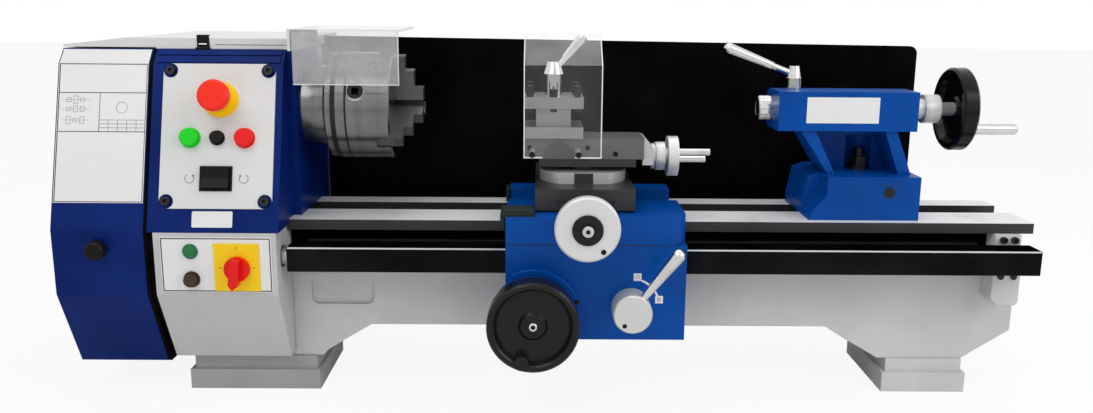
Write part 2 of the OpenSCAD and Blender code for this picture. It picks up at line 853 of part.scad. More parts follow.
module spindle() {
    color("silver") difference() {
        union() {
            xcyl(spindle_d / 2 - 4, spindle_left, bed_left + 2, 0, spindle_z);
            xcyl(spindle_d / 2, bed_left + eps, head_right + nose_ring_t + gap + eps, 0, spindle_z);
            xcyl(spindle_d / 2 + 3, bed_left + 30, head_right - 30, 0, spindle_z);
            xcyl(ring_r, head_right + nose_ring_t + gap, flange_right - gap, 0, spindle_z);
            // Lock nut at the outer end
            xcyl(spindle_d / 2 + 4, spindle_left + 3, gear_x - gap, 0, spindle_z);
        }
        xcyl(spindle_bore / 2, spindle_left - eps, flange_right, 0, spindle_z);
        for (a = stud_angles)
            translate([0, 0, spindle_z]) rotate([a, 0, 0]) {
                xcyl(4 + gap, head_right, flange_right, stud_ring, 0);
                xcyl(8, head_right, flange_right - 5.5, stud_ring, 0);
            }
    }
}

module spindle_pulley() {
    color("gray") difference() {
        union() {
            xcyl(pulley_r, pulley_x, pulley_x + pulley_t, 0, spindle_z);
            xcyl(pulley_r + 5, pulley_x, pulley_x + 3, 0, spindle_z);
            xcyl(pulley_r + 5, pulley_x + pulley_t - 3, pulley_x + pulley_t, 0, spindle_z);
        }
        xcyl(spindle_d / 2 - 4 + fit, pulley_x - eps, pulley_x + pulley_t + eps, 0, spindle_z);
        for (a = [0:60:300])
            translate([0, 0, spindle_z]) rotate([a, 0, 0])
                xcyl(8, pulley_x - eps, pulley_x + pulley_t + eps, 33, 0);
    }
}

module spindle_gear() {
    color("silver") union() {
        xgear(teeth_spindle, gear_m, gear_x, gear_t, spindle_d / 2 - 4 + fit, 0, spindle_z);
        difference() {
            xcyl(spindle_d / 2 + 3, gear_x + gear_t - eps, pulley_x, 0, spindle_z);
            xcyl(spindle_d / 2 - 4 + fit, gear_x, pulley_x + eps, 0, spindle_z);
        }
    }
}

flange_right = head_right + 9 + nose_t;
stud_angles = [30, 150, 270];
stud_ring = 33;

module chuck_backplate() {
    color("lightgray") difference() {
        union() {
            xcyl(ring_r + 3, flange_right - gap, flange_right + ring_t, 0, spindle_z);
            xcyl(ring_r - 4, flange_right + ring_t - eps, chuck_left - back_t + eps, 0, spindle_z);
            xcyl(chuck_d / 2 - 1, chuck_left - back_t, chuck_left, 0, spindle_z);
            // Screws through the spindle's flange, their heads sunk in its back
            for (a = stud_angles)
                translate([0, 0, spindle_z]) rotate([a, 0, 0]) {
                    xcyl(4, flange_right - 8, flange_right, stud_ring, 0);
                    xcyl(7, flange_right - 10, flange_right - 5.5, stud_ring, 0);
                }
        }
        xcyl(spindle_bore / 2 + 3, head_right, chuck_left + eps, 0, spindle_z);
    }
}

module chuck_body() {
    color("silver") difference() {
        union() {
            xcyl(chuck_d / 2, chuck_left, chuck_right - 2, 0, spindle_z);
            xcyl(chuck_d / 2, chuck_right - 2, chuck_right, 0, spindle_z, chuck_d / 2 - 2);
        }
        xcyl(spindle_bore / 2 + 3, chuck_left - eps, chuck_right + eps, 0, spindle_z);
        translate([0, 0, spindle_z]) difference() {
            xcyl(cavity_r, scroll_left - gap - 5, chuck_right - jaw_slot + gap / 2);
            xcyl(20, scroll_left - 10, chuck_right);
        }
        for (a = jaw_angles)
            translate([0, 0, spindle_z]) rotate([-a, 0, 0]) {
                block(chuck_right - jaw_slot, chuck_right + eps, -chuck_d, -5, -jaw_w / 2 - 0.15,
                    jaw_w / 2 + 0.15);
                block(chuck_right - jaw_slot - thread_h - 0.5, chuck_right - jaw_slot + 1, -cavity_r + 2, -5,
                    -3.5, 3.5);
            }
        translate([0, 0, spindle_z]) for (a = [pinion_angle, pinion_angle + 120, pinion_angle + 240])
            rotate([-a, 0, 0]) {
                translate([pinion_x, 0, 0]) ycyl(pinion_d / 2 + fit, -chuck_d, -28);
                translate([pinion_x, 0, 0]) ycyl(pinion_d / 2 + 3, -chuck_d, -chuck_d / 2 + 1.5);
            }
    }
    // The two pinions out of sight stay with the body
    color("dimgray") translate([0, 0, spindle_z]) for (a = [pinion_angle + 120, pinion_angle + 240])
        rotate([-a, 0, 0]) key_pinion();
}

// A key pinion with its square socket, lying along -Y
module key_pinion() {
    translate([pinion_x, 0, 0]) difference() {
        ycyl(pinion_d / 2, -chuck_d / 2 + 2, -30);
        translate([0, -chuck_d / 2, 0]) rotate([-90, 0, 0])
            translate([-4, -4, 0]) cube([8, 8, 18]);
    }
}

module chuck_pinion() {
    color("dimgray") translate([0, 0, spindle_z]) rotate([-pinion_angle, 0, 0]) key_pinion();
}

// Radius of the scroll thread's middle after the given turn, in degrees
function scroll_r(turn) = 24 + scroll_pitch * turn / 360;
scroll_turns = 4;

module chuck_scroll() {
    half = scroll_pitch * 0.2;
    steps = 36 * scroll_turns;
    color("gray") translate([scroll_left, 0, spindle_z]) rotate([90, 0, 90]) {
        difference() {
            cylinder(h = scroll_t, r = cavity_r - gap);
            translate([0, 0, -eps]) cylinder(h = scroll_t + 2 * eps, r = 20 + gap);
        }
        translate([0, 0, scroll_t - 0.5]) linear_extrude(thread_h + 0.5) polygon(concat(
            [for (i = [0:steps]) let (a = i * 10) (scroll_r(a) + half) * [cos(a), sin(a)]],
            [for (i = [steps:-1:0]) let (a = i * 10) (scroll_r(a) - half) * [cos(a), sin(a)]]
        ));
    }
}

// A stepped jaw along -Y: three steps, saw teeth on their edges, and blocks in the scroll's grooves
jaw_steps = [[60, 13], [43, 23], [22.5, 33]];
jaw_in = 8;

module jaw(angle) {
    polar = (540 - angle) % 360;
    translate([0, 0, spindle_z]) rotate([-angle, 0, 0]) difference() {
        union() {
            block(chuck_right - jaw_slot + gap / 2, chuck_right + 0.5, -jaw_steps[0][0], -jaw_in,
                -jaw_w / 2, jaw_w / 2);
            for (s = jaw_steps)
                block(chuck_right, chuck_right + s[1], -s[0], -jaw_in, -jaw_w / 2, jaw_w / 2);
            for (i = [-1:3])
                let (r = scroll_r(polar + 180 + 360 * i))
                    if (r > 22 && r < cavity_r - 17.5)
                        block(chuck_right - jaw_slot - thread_h + 0.5, chuck_right - jaw_slot + eps,
                            -r - scroll_pitch * 0.14, -r + scroll_pitch * 0.14, -3, 3);
        }
        for (s = jaw_steps, k = [0:3])
            block(chuck_right + s[1] - 9 + k * 2.4, chuck_right + s[1] - 8 + k * 2.4, -s[0] - eps,
                -s[0] + 1, -jaw_w, jaw_w);
        // Wedge-shaped inner end, so that the three jaws clear each other
        for (side = [-1, 1])
            translate([chuck_right - 20, -jaw_in, 0]) rotate([side * 30, 0, 0])
                translate([-1, 0, side > 0 ? -2 * jaw_w : 0]) cube([60, 2 * jaw_w, 2 * jaw_w]);
    }
}

module chuck_jaw_1() {
    color("silver") jaw(jaw_angles[0]);
}

module chuck_jaw_2() {
    color("silver") jaw(jaw_angles[1]);
}

module chuck_jaw_3() {
    color("silver") jaw(jaw_angles[2]);
}

module motor_pulley() {
    color("gray") {
        xcyl(motor_shaft_r, pulley_x - 2, bed_left + 34, motor_y, motor_z);
        xcyl(motor_pulley_r, pulley_x, pulley_x + pulley_t, motor_y, motor_z);
        for (x = [pulley_x, pulley_x + pulley_t - 3])
            xcyl(motor_pulley_r + 5, x, x + 3, motor_y, motor_z);
    }
}

module idler_gear() {
    meet = atan2(idler_z - spindle_z, idler_y);
    // A gap of the idler faces a tooth of the spindle gear on the line between their centres
    phase = meet * teeth_spindle / 360;
    own = (meet + 180) + (180 + (phase - floor(phase)) * 360) / teeth_idler;
    color("darkgray") difference() {
        xgear(teeth_idler, gear_m, gear_x, gear_t, 8 + fit, idler_y, idler_z, own);
        for (a = [0:60:300])
            translate([0, idler_y, idler_z]) rotate([a, 0, 0])
                xcyl(13, gear_x - eps, gear_x + gear_t + eps, 36, 0);
    }
}

module lead_screw() {
    meet_a = atan2(idler_z - spindle_z, idler_y);
    phase_a = meet_a * teeth_spindle / 360;
    idler_own = (meet_a + 180) + (180 + (phase_a - floor(phase_a)) * 360) / teeth_idler;
    meet = atan2(screw_z - idler_z, -screw_front - idler_y);
    phase = (meet - idler_own) * teeth_idler / 360;
    own = (meet + 180) + (180 + (phase - floor(phase)) * 360) / teeth_screw;
    color("silver") {
        xcyl(screw_d / 2, gear_x - 8, bracket_x + bracket_w + 8, -screw_front, screw_z);
        xgear(teeth_screw, gear_m, gear_x, gear_t, screw_d / 2 - eps, -screw_front, screw_z, own);
        xcyl(screw_d / 2 + 5, gear_x + gear_t - eps, bed_left - 11 - gap, -screw_front, screw_z);
    }
}

// Carriage. The frame of these pieces is the saddle's left side at way height
module on_carriage() {
    translate([carriage_x, 0, bed_top]) children();
}

wing_w = 32;
channel_w = 26;

module saddle() {
    front = apron_front;
    mid0 = cross_x - 33;
    mid1 = cross_x + 33;
    color("royalblue") on_carriage() difference() {
        union() {
            // Deck that bears on both ways, with its four wings
            block(0, saddle_len, -front, -bed_w / 2 + 40, 0, saddle_top);
            block(mid0 - 14, mid1 + 14, -front, 78, 0, saddle_top);
            block(0, saddle_len, bed_w / 2 - 26, 78, 0, saddle_top);
            block(0, saddle_len, -front, -bed_w / 2 - gap, -14, 0.5);
            block(0, saddle_len, bed_w / 2 + gap, 78, -14, 0.5);
            // Dovetail for the cross slide
            along_y([[mid0 + 7, saddle_top - eps], [mid0, slide_z + 11], [mid1, slide_z + 11],
                [mid1 - 7, saddle_top - eps]], -98, 76);
            // Bearing bracket of the cross screw
            block(cross_x - 17, cross_x + 17, -front - 15, -front + eps, -4, saddle_top);
            // Keepers under the lips
            block(saddle_len - 95, saddle_len - 4, -bed_w / 2 - 8, -bed_w / 2 + 6, -lip_t - 10,
                -lip_t - gap);
            block(saddle_len - 95, saddle_len - 4, -bed_w / 2 - 8, -bed_w / 2 - gap, -lip_t - 1, -10);
            block(4, saddle_len - 4, bed_w / 2 - 6, bed_w / 2 + 8, -lip_t - 10, -lip_t - gap);
            block(4, saddle_len - 4, bed_w / 2 + gap, bed_w / 2 + 8, -lip_t - 1, -10);
        }
        // Channel of the cross screw and its nut
        block(cross_x - channel_w / 2, cross_x + channel_w / 2, -100, 72, cross_screw_z - 11,
            slide_z + 12);
        ycyl(6 + fit, -front - 16, -99, cross_x, cross_screw_z);
        // Round corner of the right wing
        translate([saddle_len, -front, -15]) difference() {
            translate([-22, -eps, 0]) cube([22 + eps, 22 + eps, 40]);
            translate([-22, 22, -eps]) cylinder(h = 42, r = 22);
        }
    }
}

boss_r = 46;
stub_y = 74;
stub_r = 4;

module apron() {
    front = apron_front;
    wx = apron_wheel_x;
    wz = apron_wheel_z;
    px = wx + pinion_shift;
    pz = pinion_z - bed_top;
    cheek_top = cover_top - cover_drop - bed_top - gap;
    color("royalblue") on_carriage() difference() {
        union() {
            block(0, saddle_len, -front, -front + 14, -apron_drop, -14);
            ycyl(boss_r, -front - 10, -front + eps, wx, wz);
            // Sleeve of the handwheel shaft and the plate that carries the rack pinion's stub
            ycyl(12, -front + 13, -stub_y, wx, wz);
            block(wx - 14, px + 12, -stub_y - 3, -stub_y, wz - 16, pz + 8);
            block(wx - 14, px + 12, -front + 13, -stub_y, wz - 16, wz - 6);
            ycyl(stub_r, -stub_y - eps, -rack_back - 1.5, px, pz);
            // Guide cheeks of the half nut
            for (x = [lever_x - 36, lever_x + 28 + gap])
                block(x, x + 8 - gap, -front + 13, -80, lever_z - 24, cheek_top);
        }
        ycyl(7 + fit, -front - 11, -60, wx, wz);
        ycyl(10 + fit, -front - 11, -front + 15, lever_x, lever_z);
    }
}

// The half nut rests open below the screw and is lifted by the pin on the lever's shaft
nut_open = lever_throw;

module half_nut() {
    rest = -screw_drop - nut_open;
    slot_z = lever_z - lever_throw / 2;
    color("goldenrod") on_carriage() difference() {
        union() {
            block(lever_x - 22, lever_x + 22, -screw_front - 10, -screw_front + 10, rest - 26, rest - 0.5);
            block(lever_x - 28, lever_x + 28, -screw_front - 10, -screw_front - 1, lever_z - 16, rest - 24);
        }
        xcyl(screw_d / 2 + gap, lever_x - 23, lever_x + 23, -screw_front, rest);
        block(lever_x - 13, lever_x + 2, -screw_front - 11, -screw_front + eps, slot_z - 3.6, slot_z + 3.6);
    }
}

// A dished handwheel facing +Z: rim, web and hub
module dished_wheel(d, rim, depth, dish) {
    r = d / 2;
    rotate_extrude($fn = 96) polygon([
        [0, 0], [14, 0], [16, depth - dish - 8], [r - rim - 2, depth - dish - 8], [r - rim + 1, 2],
        [r - 2.5, 0], [r, 2.5], [r, depth - 2.5], [r - 2.5, depth], [r - rim + 2, depth],
        [r - rim, depth - 2], [r - rim - 3, depth - dish], [16, depth - dish], [13, depth - dish + 3],
        [0, depth - dish + 3]
    ]);
}

module apron_handwheel() {
    front = apron_front + 10;
    depth = 28;
    color("black") on_carriage() {
        translate([apron_wheel_x, -front - 15, apron_wheel_z]) {
            rotate([90, 0, 0]) dished_wheel(apron_wheel_d, 8, depth, 10);
            // Boss of the removed crank handle
            translate([-12.5, 0, -39]) rotate([90, 0, 0]) translate([0, 0, 4]) cylinder(h = depth - 3, r = 8);
        }
        ycyl(11, -front - 16, -front - gap, apron_wheel_x, apron_wheel_z);
        ycyl(7, -front - 16, -stub_y + gap, apron_wheel_x, apron_wheel_z);
        ygear(wheel_teeth, rack_m, -stub_y + gap, 8, 3, apron_wheel_x, apron_wheel_z);
        ycyl(4, -stub_y, -stub_y + 8, apron_wheel_x, apron_wheel_z);
    }
}

module rack_pinion() {
    px = apron_wheel_x + pinion_shift;
    pz = pinion_z - bed_top;
    meet = atan2(pz - apron_wheel_z, pinion_shift);
    phase = meet * wheel_teeth / 360;
    own = (meet + 180) + (180 + (phase - floor(phase)) * 360) / drive_teeth;
    color("silver") on_carriage() {
        ygear(drive_teeth, rack_m, -stub_y + gap, 8, stub_r + fit, px, pz, own);
        // A tooth of the pinion points straight up between two rack teeth
        ygear(teeth_pinion, rack_m, -stub_y + 8, stub_y - 9 - rack_back, stub_r + fit, px, pz, 90);
    }
}

module half_nut_lever() {
    front = apron_front;
    color("silver") on_carriage() translate([lever_x, 0, lever_z]) {
        ycyl(10, -front - 6, -front + 14.5);
        ycyl(21.5, -front - 30, -front - gap);
        ycyl(20, -front - 32, -front - 30, 0, 0, 21.5);
        translate([0, -front - 22, 0]) rotate([8, 35, 0]) translate([0, 0, 12])
            machine_lever(78, 3.4, 7.5);
        // Crank pin that lifts the half nut
        translate([-6.06, 0, -lever_throw / 2]) ycyl(3, -front + 13, -screw_front - 2);
    }
}

module cross_slide() {
    mid0 = cross_x - 33;
    mid1 = cross_x + 33;
    color("dimgray") on_carriage() difference() {
        union() {
            block(cross_x - cross_w / 2, cross_x + cross_w / 2, -100, -100 + cross_len, slide_z,
                slide_z + cross_h);
            block(cross_x - 10, cross_x + 10, -30, 5, cross_screw_z - 9, slide_z + 12);
        }
        // Female dovetail, cut along the slide
        difference() {
            along_y([[mid0 + 7 - 0.2, slide_z - 2 - eps], [mid0 - 0.3, slide_z + 11.2],
                [mid1 + 0.3, slide_z + 11.2], [mid1 - 7 + 0.2, slide_z - 2 - eps]], -101, cross_len - 99);
            block(cross_x - 10, cross_x + 10, -30, 5, -20, slide_z + 13);
        }
        ycyl(6 + 2 * fit, -40, 10, cross_x, cross_screw_z);
        zcyl(swivel_r + fit, slide_z + 12, slide_z + cross_h + eps, swivel_x, swivel_y);
    }
}

module cross_handwheel() {
    front = apron_front + 15;
    color("silver") on_carriage() translate([cross_x, 0, cross_screw_z]) {
        ycyl(6, -front - 2, 60);
        ycyl(17, -front - 18, -front - gap);
        ycyl(cross_wheel_d / 2 - 2, -front - 18.5, -front - 18, 0, 0, cross_wheel_d / 2 - 1);
        ycyl(cross_wheel_d / 2, -front - 28, -front - 18);
        ycyl(cross_wheel_d / 2 - 2, -front - 30, -front - 28, 0, 0, cross_wheel_d / 2);
        ycyl(16.5, -front - 32, -front - 29);
        translate([0, -front - 32, 0]) rotate([90, 0, 0]) cylinder(h = 5, r = 5.5, $fn = 6);
    }
}

// Swivel plate with a flat front, and the lower half of the top slide with its male dovetail
module compound_base() {
    x0 = swivel_x - 51.5;
    x1 = x0 + 112;
    seam = top_z + top_base_h;
    color("gray") on_carriage() difference() {
        union() {
            translate([swivel_x, swivel_y, swivel_z]) linear_extrude(swivel_t) intersection() {
                circle(50.5, $fn = 96);
                translate([-60, -41]) square([120, 82]);
            }
            zcyl(17, swivel_z + swivel_t - eps, top_z + eps, swivel_x, swivel_y);
            zcyl(swivel_r, slide_z + 12.5, swivel_z + eps, swivel_x, swivel_y);
            block(x0, x1, swivel_y - top_w / 2, swivel_y + top_w / 2, top_z, seam);
            along_x([[swivel_y - 14, seam - eps], [swivel_y - 19, seam + 9],
                [swivel_y + 19, seam + 9], [swivel_y + 14, seam - eps]], x0, x1);
        }
        // Channel of the screw; the block left at its end is the nut
        block(x0 - eps, x1 - 16, swivel_y - 8, swivel_y + 8, seam - 6, seam + 10);
        xcyl(4 + fit, x1 - 17, x1 + eps, swivel_y, slide_mid);
    }
}

top_x = swivel_x - 69.5;
slide_mid = top_z + top_base_h;

module compound_slide() {
    y0 = swivel_y - top_w / 2;
    y1 = swivel_y + top_w / 2;
    z0 = top_z + top_base_h + gap / 3;
    end = top_x + top_len;
    color("gray") on_carriage() {
        difference() {
            union() {
                block(top_x, end, y0, y1, z0, post_z);
                // Cast end bracket that carries the screw
                along_y([[end - 1, post_z], [end + 2, post_z], [end + 12, post_z - 12],
                    [end + 12, top_z + 1], [end - 1, top_z + 1]], y0 + 8, y1 - 8);
                xcyl(15, end + 11, end + bracket_out, swivel_y, slide_mid);
            }
            along_x([[swivel_y - 14.3, z0 - eps], [swivel_y - 19.3, z0 + 9.2], [swivel_y + 19.3, z0 + 9.2],
                [swivel_y + 14.3, z0 - eps]], top_x - eps, end - 1);
            xcyl(4 + fit, end - 2, end + 20, swivel_y, slide_mid);
            // Gib screws in the front face
            for (p = [[7, 13], [74, 13], [106, 6]])
                ycyl(3, y0 - eps, y0 + 5, top_x + p[0], z0 + p[1]);
        }
        // Clamping stud of the tool post
        zcyl(6, post_z - eps, post_top + 24, post_x, swivel_y);
        // Stand-offs of the clear shield
        for (x = [post_x - 24, post_x + 28])
            ycyl(3, y0 - shield_gap, y0 + eps, x, post_z - 14);
    }
}

shield_gap = 30;
bracket_out = 15.5;

module compound_handwheel() {
    x0 = top_x + top_len + bracket_out + gap;
    color("silver") on_carriage() translate([0, swivel_y, slide_mid]) {
        xcyl(4, top_x + 60, x0 + 2, 0, 0);
        xcyl(16.8, x0, x0 + 11, 0, 0);
        xcyl(10, x0 + 10, x0 + 15, 0, 0);
        xcyl(23.5, x0 + 14, x0 + 26, 0, 0);
        // Two crank rods
        xcyl(4, x0 + 25, x0 + 62, -15, 7);
        xcyl(4, x0 + 25, x0 + 62, 15, -6);
    }
}

module tool_post() {
    half = post_w / 2;
    core = half - 14;
    color("darkgray") on_carriage() translate([post_x, swivel_y, post_z + gap / 3]) difference() {
        union() {
            block(-half, half, -half, half, 0, plate_t - 0.1);
            block(-core, core, -core, core, plate_t - 1, plate_t + slot_h + 1);
            block(-half, half, -half, half, plate_t + slot_h, 2 * plate_t + slot_h - 0.1);
        }
        zcyl(6 + fit, -eps, 60);
        for (p = screw_spots(half - 7))
            zcyl(3.5 + gap, plate_t + slot_h - eps, 60, p[0], p[1]);
    }
}

function screw_spots(r) = [[-r, -r], [0, -r], [r, -r], [r, 0], [r, r], [0, r], [-r, r], [-r, 0]];

module tool_screws() {
    head = [30, 26, 30, 26, 30, 26, 30, 26];
    color("dimgray") on_carriage() translate([post_x, swivel_y, post_z + plate_t + slot_h])
        for (i = [0:7]) translate(screw_spots(post_w / 2 - 7)[i]) {
            translate([0, 0, -4]) cylinder(h = head[i] - 2, r = 3.5);
            translate([0, 0, head[i] - 13]) cylinder(h = 9, r = 4.6, $fn = 4);
        }
}

module tool_post_lever() {
    color("silver") on_carriage() translate([post_x, swivel_y, post_top + gap]) difference() {
        union() {
            cylinder(h = 24, r = 10.5);
            translate([0, 0, 24]) cylinder(h = 14, r1 = 12, r2 = 7);
            translate([6, 0, 33]) rotate([0, 40, 0]) cylinder(h = 12, r = 3.5);
            translate([13, 0, 41.5]) rotate([0, 40, 0]) cylinder(h = 30, r1 = 4.5, r2 = 6.5);
            translate([32, 0, 64.5]) rotate([0, 40, 0]) cylinder(h = 4, r = 5);
        }
        translate([0, 0, -eps]) cylinder(h = 28, r = 6 + fit);
    }
}

module tool_shield() {
    x0 = post_x - 33.5;
    w = 87;
    y = swivel_y - top_w / 2 - shield_gap;
    z0 = post_z - 18;
    z1 = post_top + 38;
    color("white", 0.3) on_carriage() {
        difference() {
            block(x0, x0 + w, y - sheet_t, y, z0, z1);
            ycyl(18, y - sheet_t - eps, y + eps, post_x + 5.5, z0 + 1);
        }
        translate([0, 0, z1 - 0.5]) along_x([[y - sheet_t, 0], [y, 0], [y + 45, 31], [y + 44, 33.5]],
            x0, x0 + w);
    }
}

// Tailstock. The frame of these pieces is the base's left side at way height
module on_tail() {
    translate([tail_x, 0, bed_top]) children();
}

tail_len = 128;
clamp_x = 74;
clamp_y = 10;

module tailstock_base() {
    color("royalblue") on_tail() difference() {
        union() {
            along_y([[0, 0], [4.5, 12], [19.5, 29], [19.5, base_h], [tail_len, base_h], [tail_len, 0]],
                -55, -20);
            along_y([[0, 0], [0, 14], [6, base_h - 5], [20, base_h], [tail_len, base_h],
                [tail_len, 0]], -21, 58);
        }
        // Hole of the clamp bolt
        zcyl(8, -eps, base_h + eps, clamp_x, clamp_y);
        // Counterbore of the set-over screw
        ycyl(6, -55 - eps, -49, 92, 33);
    }
    color("dimgray") on_tail() {
        ycyl(5.4, -53, -49, 92, 33);
        // Clamp bolt, its nut and the plate that grips under the ways
        zcyl(6, -lip_t - 20, base_h + 26, clamp_x, clamp_y);
        translate([clamp_x, clamp_y, base_h]) cylinder(h = 3, r = 14);
        translate([clamp_x, clamp_y, base_h + 3]) cylinder(h = 12, r = 11, $fn = 6);
        block(clamp_x - 30, clamp_x + 30, 1.5 + bed_wall - wall_front, wall_front - bed_wall - 1.5,
            -lip_t - 16, -lip_t - gap);
    }
}

module tailstock_body() {
    zc = centre_h;
    z0 = zc - barrel_h / 2;
    z1 = zc + barrel_h / 2;
    bx = barrel_x;
    end = bx + barrel_len;
    color("royalblue") on_tail() difference() {
        union() {
            translate([bx, 0, 0]) rotate([90, 0, 90]) linear_extrude(barrel_len) {
                translate([-40, z0]) square([50, barrel_h]);
                translate([8, zc]) circle(barrel_h / 2);
            }
            xcyl(15, end - eps, end + 8, 0, zc);
            // Web behind the window and the two leaning ribs in front of it
            along_y([[bx + 27, z0 + 8], [24.5, base_h], [122, base_h], [end - 23, z0 + 8]], 14, 30);
            along_y([[bx + 27, z0 + eps], [24.5, base_h], [33, base_h], [bx + 44.5, z0 + eps]], -36, 15);
            along_y([[end - 36, z0 + eps], [107, base_h], [122, base_h], [end - 22, z0 + eps]], -36, 15);
        }
        xcyl(quill_d / 2 + fit, bx - eps, end - 14, 0, zc);
        xcyl(6 + fit, end - 15, end + 9, 0, zc);
        zcyl(6 + fit, zc + quill_d / 2 - 3, z1 + eps, bx + 25, 0);
        // Room for the clamp nut
        zcyl(16, base_h - eps, base_h + 40, clamp_x, clamp_y);
    }
}

module quill() {
    color("silver") on_tail() translate([0, 0, centre_h]) difference() {
        union() {
            xcyl(quill_d / 2 - 1.5, barrel_x - quill_out, barrel_x - quill_out + 1.5, 0, 0, quill_d / 2);
            xcyl(quill_d / 2, barrel_x - quill_out + 1.5, barrel_x + barrel_len - 62, 0, 0);
        }
        xcyl(quill_bore / 2, barrel_x - quill_out - eps, barrel_x - quill_out + 62, 0, 0);
        xcyl(6 + 2 * fit, barrel_x - quill_out + 60, barrel_x + barrel_len, 0, 0);
        block(barrel_x + 10, barrel_x + barrel_len - 61, -2.5, 2.5, quill_d / 2 - 3, quill_d);
    }
}

module tailstock_handwheel() {
    x0 = barrel_x + barrel_len + 8 + gap;
    color("black") on_tail() translate([0, 0, centre_h]) {
        xcyl(6, barrel_x + 60, x0 + 2, 0, 0);
        xcyl(12, x0, x0 + 11, 0, 0);
        xcyl(17, x0 + 10, x0 + 28, 0, 0);
        xcyl(8, x0 + 27, x0 + 50, 0, 0);
        difference() {
            union() {
                translate([x0 + 60, 0, 0]) rotate([0, -90, 0]) dished_wheel(tail_wheel_d, 9, 19, 9);
                xcyl(9, x0 + 50, x0 + 60, handle_at[0], handle_at[1]);
            }
            xcyl(4 + fit, x0 + 40, x0 + 61, handle_at[0], handle_at[1]);
        }
    }
}

handle_at = [-32, -20];

module wheel_handle() {
    x0 = barrel_x + barrel_len + 8 + gap;
    color("silver") on_tail() translate([0, handle_at[0], centre_h + handle_at[1]]) {
        xcyl(4, x0 + 50.5, x0 + 62, 0, 0);
        xcyl(6.5, x0 + 60 + gap, x0 + 108, 0, 0);
        xcyl(6.5, x0 + 108, x0 + 110, 0, 0, 5);
    }
}

module quill_lock_lever() {
    color("silver") on_tail() translate([barrel_x + 25, 0, centre_h + barrel_h / 2]) {
        translate([0, 0, -6]) cylinder(h = 8, r = 6);
        translate([0, 0, gap]) cylinder(h = 13, r = 9);
        translate([0, 0, 13]) cylinder(h = 14, r1 = 8.5, r2 = 6);
        translate([-3, 0, 18]) rotate([0, -69, 0]) cylinder(h = 30, r = 3.6);
        translate([-26, 0, 26.8]) rotate([0, -69, 0]) machine_lever(62, 4.5, 6.5);
    }
}

// Clear guard over the chuck on a side arm, pivoted at the back of the headstock
guard_pivot_y = 70;
guard_pivot_z = head_top - 12;
guard_top = head_top + 24;

module chuck_guard() {
    x0 = head_right + 6;
    arm0 = head_right + 1.2;
    color("white", 0.6) {
        block(x0, x0 + guard_w, -80, 50, guard_top - sheet_t, guard_top);
        block(x0, x0 + guard_w, -80, -80 + sheet_t, guard_top - 61, guard_top);
    }
    color("lightgray") {
        along_x([[-80, guard_top - 24], [-80, guard_top], [52, guard_top], [guard_pivot_y + 10, guard_pivot_z],
            [guard_pivot_y + 6, guard_pivot_z - 8], [guard_pivot_y - 6, guard_pivot_z - 8],
            [40, guard_top - 24]], arm0, arm0 + 3);
        block(arm0 + 2, x0 + 0.5, -80, 50, guard_top - sheet_t, guard_top);
        xcyl(5, head_right - 11, arm0 + 1, guard_pivot_y, guard_pivot_z);
    }
}

bed();
feet();
feed_rack();
lead_screw_cover();
bearings();
headstock();
headstock_lid();
gear_backplate();
gear_quadrant();
control_box();
control_panel();
lamp_and_fuses();
electrical_box();
motor();
drive_belt();
cable_gland();
splash_guard();
socket_screws();
gear_cover();
cover_knob();
spindle();
spindle_pulley();
spindle_gear();
chuck_backplate();
chuck_body();
chuck_scroll();
chuck_jaw_1();
chuck_jaw_2();
chuck_jaw_3();
chuck_pinion();
motor_pulley();
idler_gear();
lead_screw();
saddle();
apron();
half_nut();
apron_handwheel();
rack_pinion();
half_nut_lever();
cross_slide();
cross_handwheel();
compound_base();
compound_slide();
compound_handwheel();
tool_post();
tool_screws();
tool_post_lever();
tool_shield();
tailstock_base();
tailstock_body();
quill();
tailstock_handwheel();
wheel_handle();
quill_lock_lever();
chuck_guard();
estop_button();
start_button();
stop_button();
direction_switch();
main_switch_knob();
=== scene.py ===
"""Looks of a bench lathe: finishes for every part, small fittings, and the studio around it.

Sizes are in millimetres of the lathe's own frame: X along the bed towards the tailstock,
Y away from the operator, Z up from the bench, with the spindle over Y = 0.
"""
import logging
import math
from dataclasses import dataclass
from enum import Enum
from typing import Any, Callable, Optional, Sequence, Union

import bmesh
import bpy
from mathutils import Matrix, Vector


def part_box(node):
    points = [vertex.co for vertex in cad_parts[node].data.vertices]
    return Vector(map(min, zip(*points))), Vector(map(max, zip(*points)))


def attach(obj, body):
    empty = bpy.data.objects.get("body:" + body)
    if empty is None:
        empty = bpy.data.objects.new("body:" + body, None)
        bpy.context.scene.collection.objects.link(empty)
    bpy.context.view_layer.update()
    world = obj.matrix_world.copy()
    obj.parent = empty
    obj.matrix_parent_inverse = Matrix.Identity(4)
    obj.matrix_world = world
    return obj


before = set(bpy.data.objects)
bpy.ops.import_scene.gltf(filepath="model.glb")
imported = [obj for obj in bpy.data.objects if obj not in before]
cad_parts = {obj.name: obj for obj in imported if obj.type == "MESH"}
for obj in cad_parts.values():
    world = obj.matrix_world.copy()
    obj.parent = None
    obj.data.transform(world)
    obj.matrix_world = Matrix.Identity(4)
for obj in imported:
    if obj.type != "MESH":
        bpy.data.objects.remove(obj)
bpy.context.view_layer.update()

log = logging.getLogger("bench_lathe")

MM = 0.001
SMOOTH_ANGLE = math.radians(32)
DIAL_LINES = 50
Point2 = tuple[float, float]
Point3 = tuple[float, float, float]
Colour = Point3
Test = Callable[[Vector, Vector], bool]
RIGHT: Point3 = (1, 0, 0)
BACK: Point3 = (0, 1, 0)
UP: Point3 = (0, 0, 1)
FRONT: Point3 = (0, -1, 0)
SPINDLE_Z = 335.0


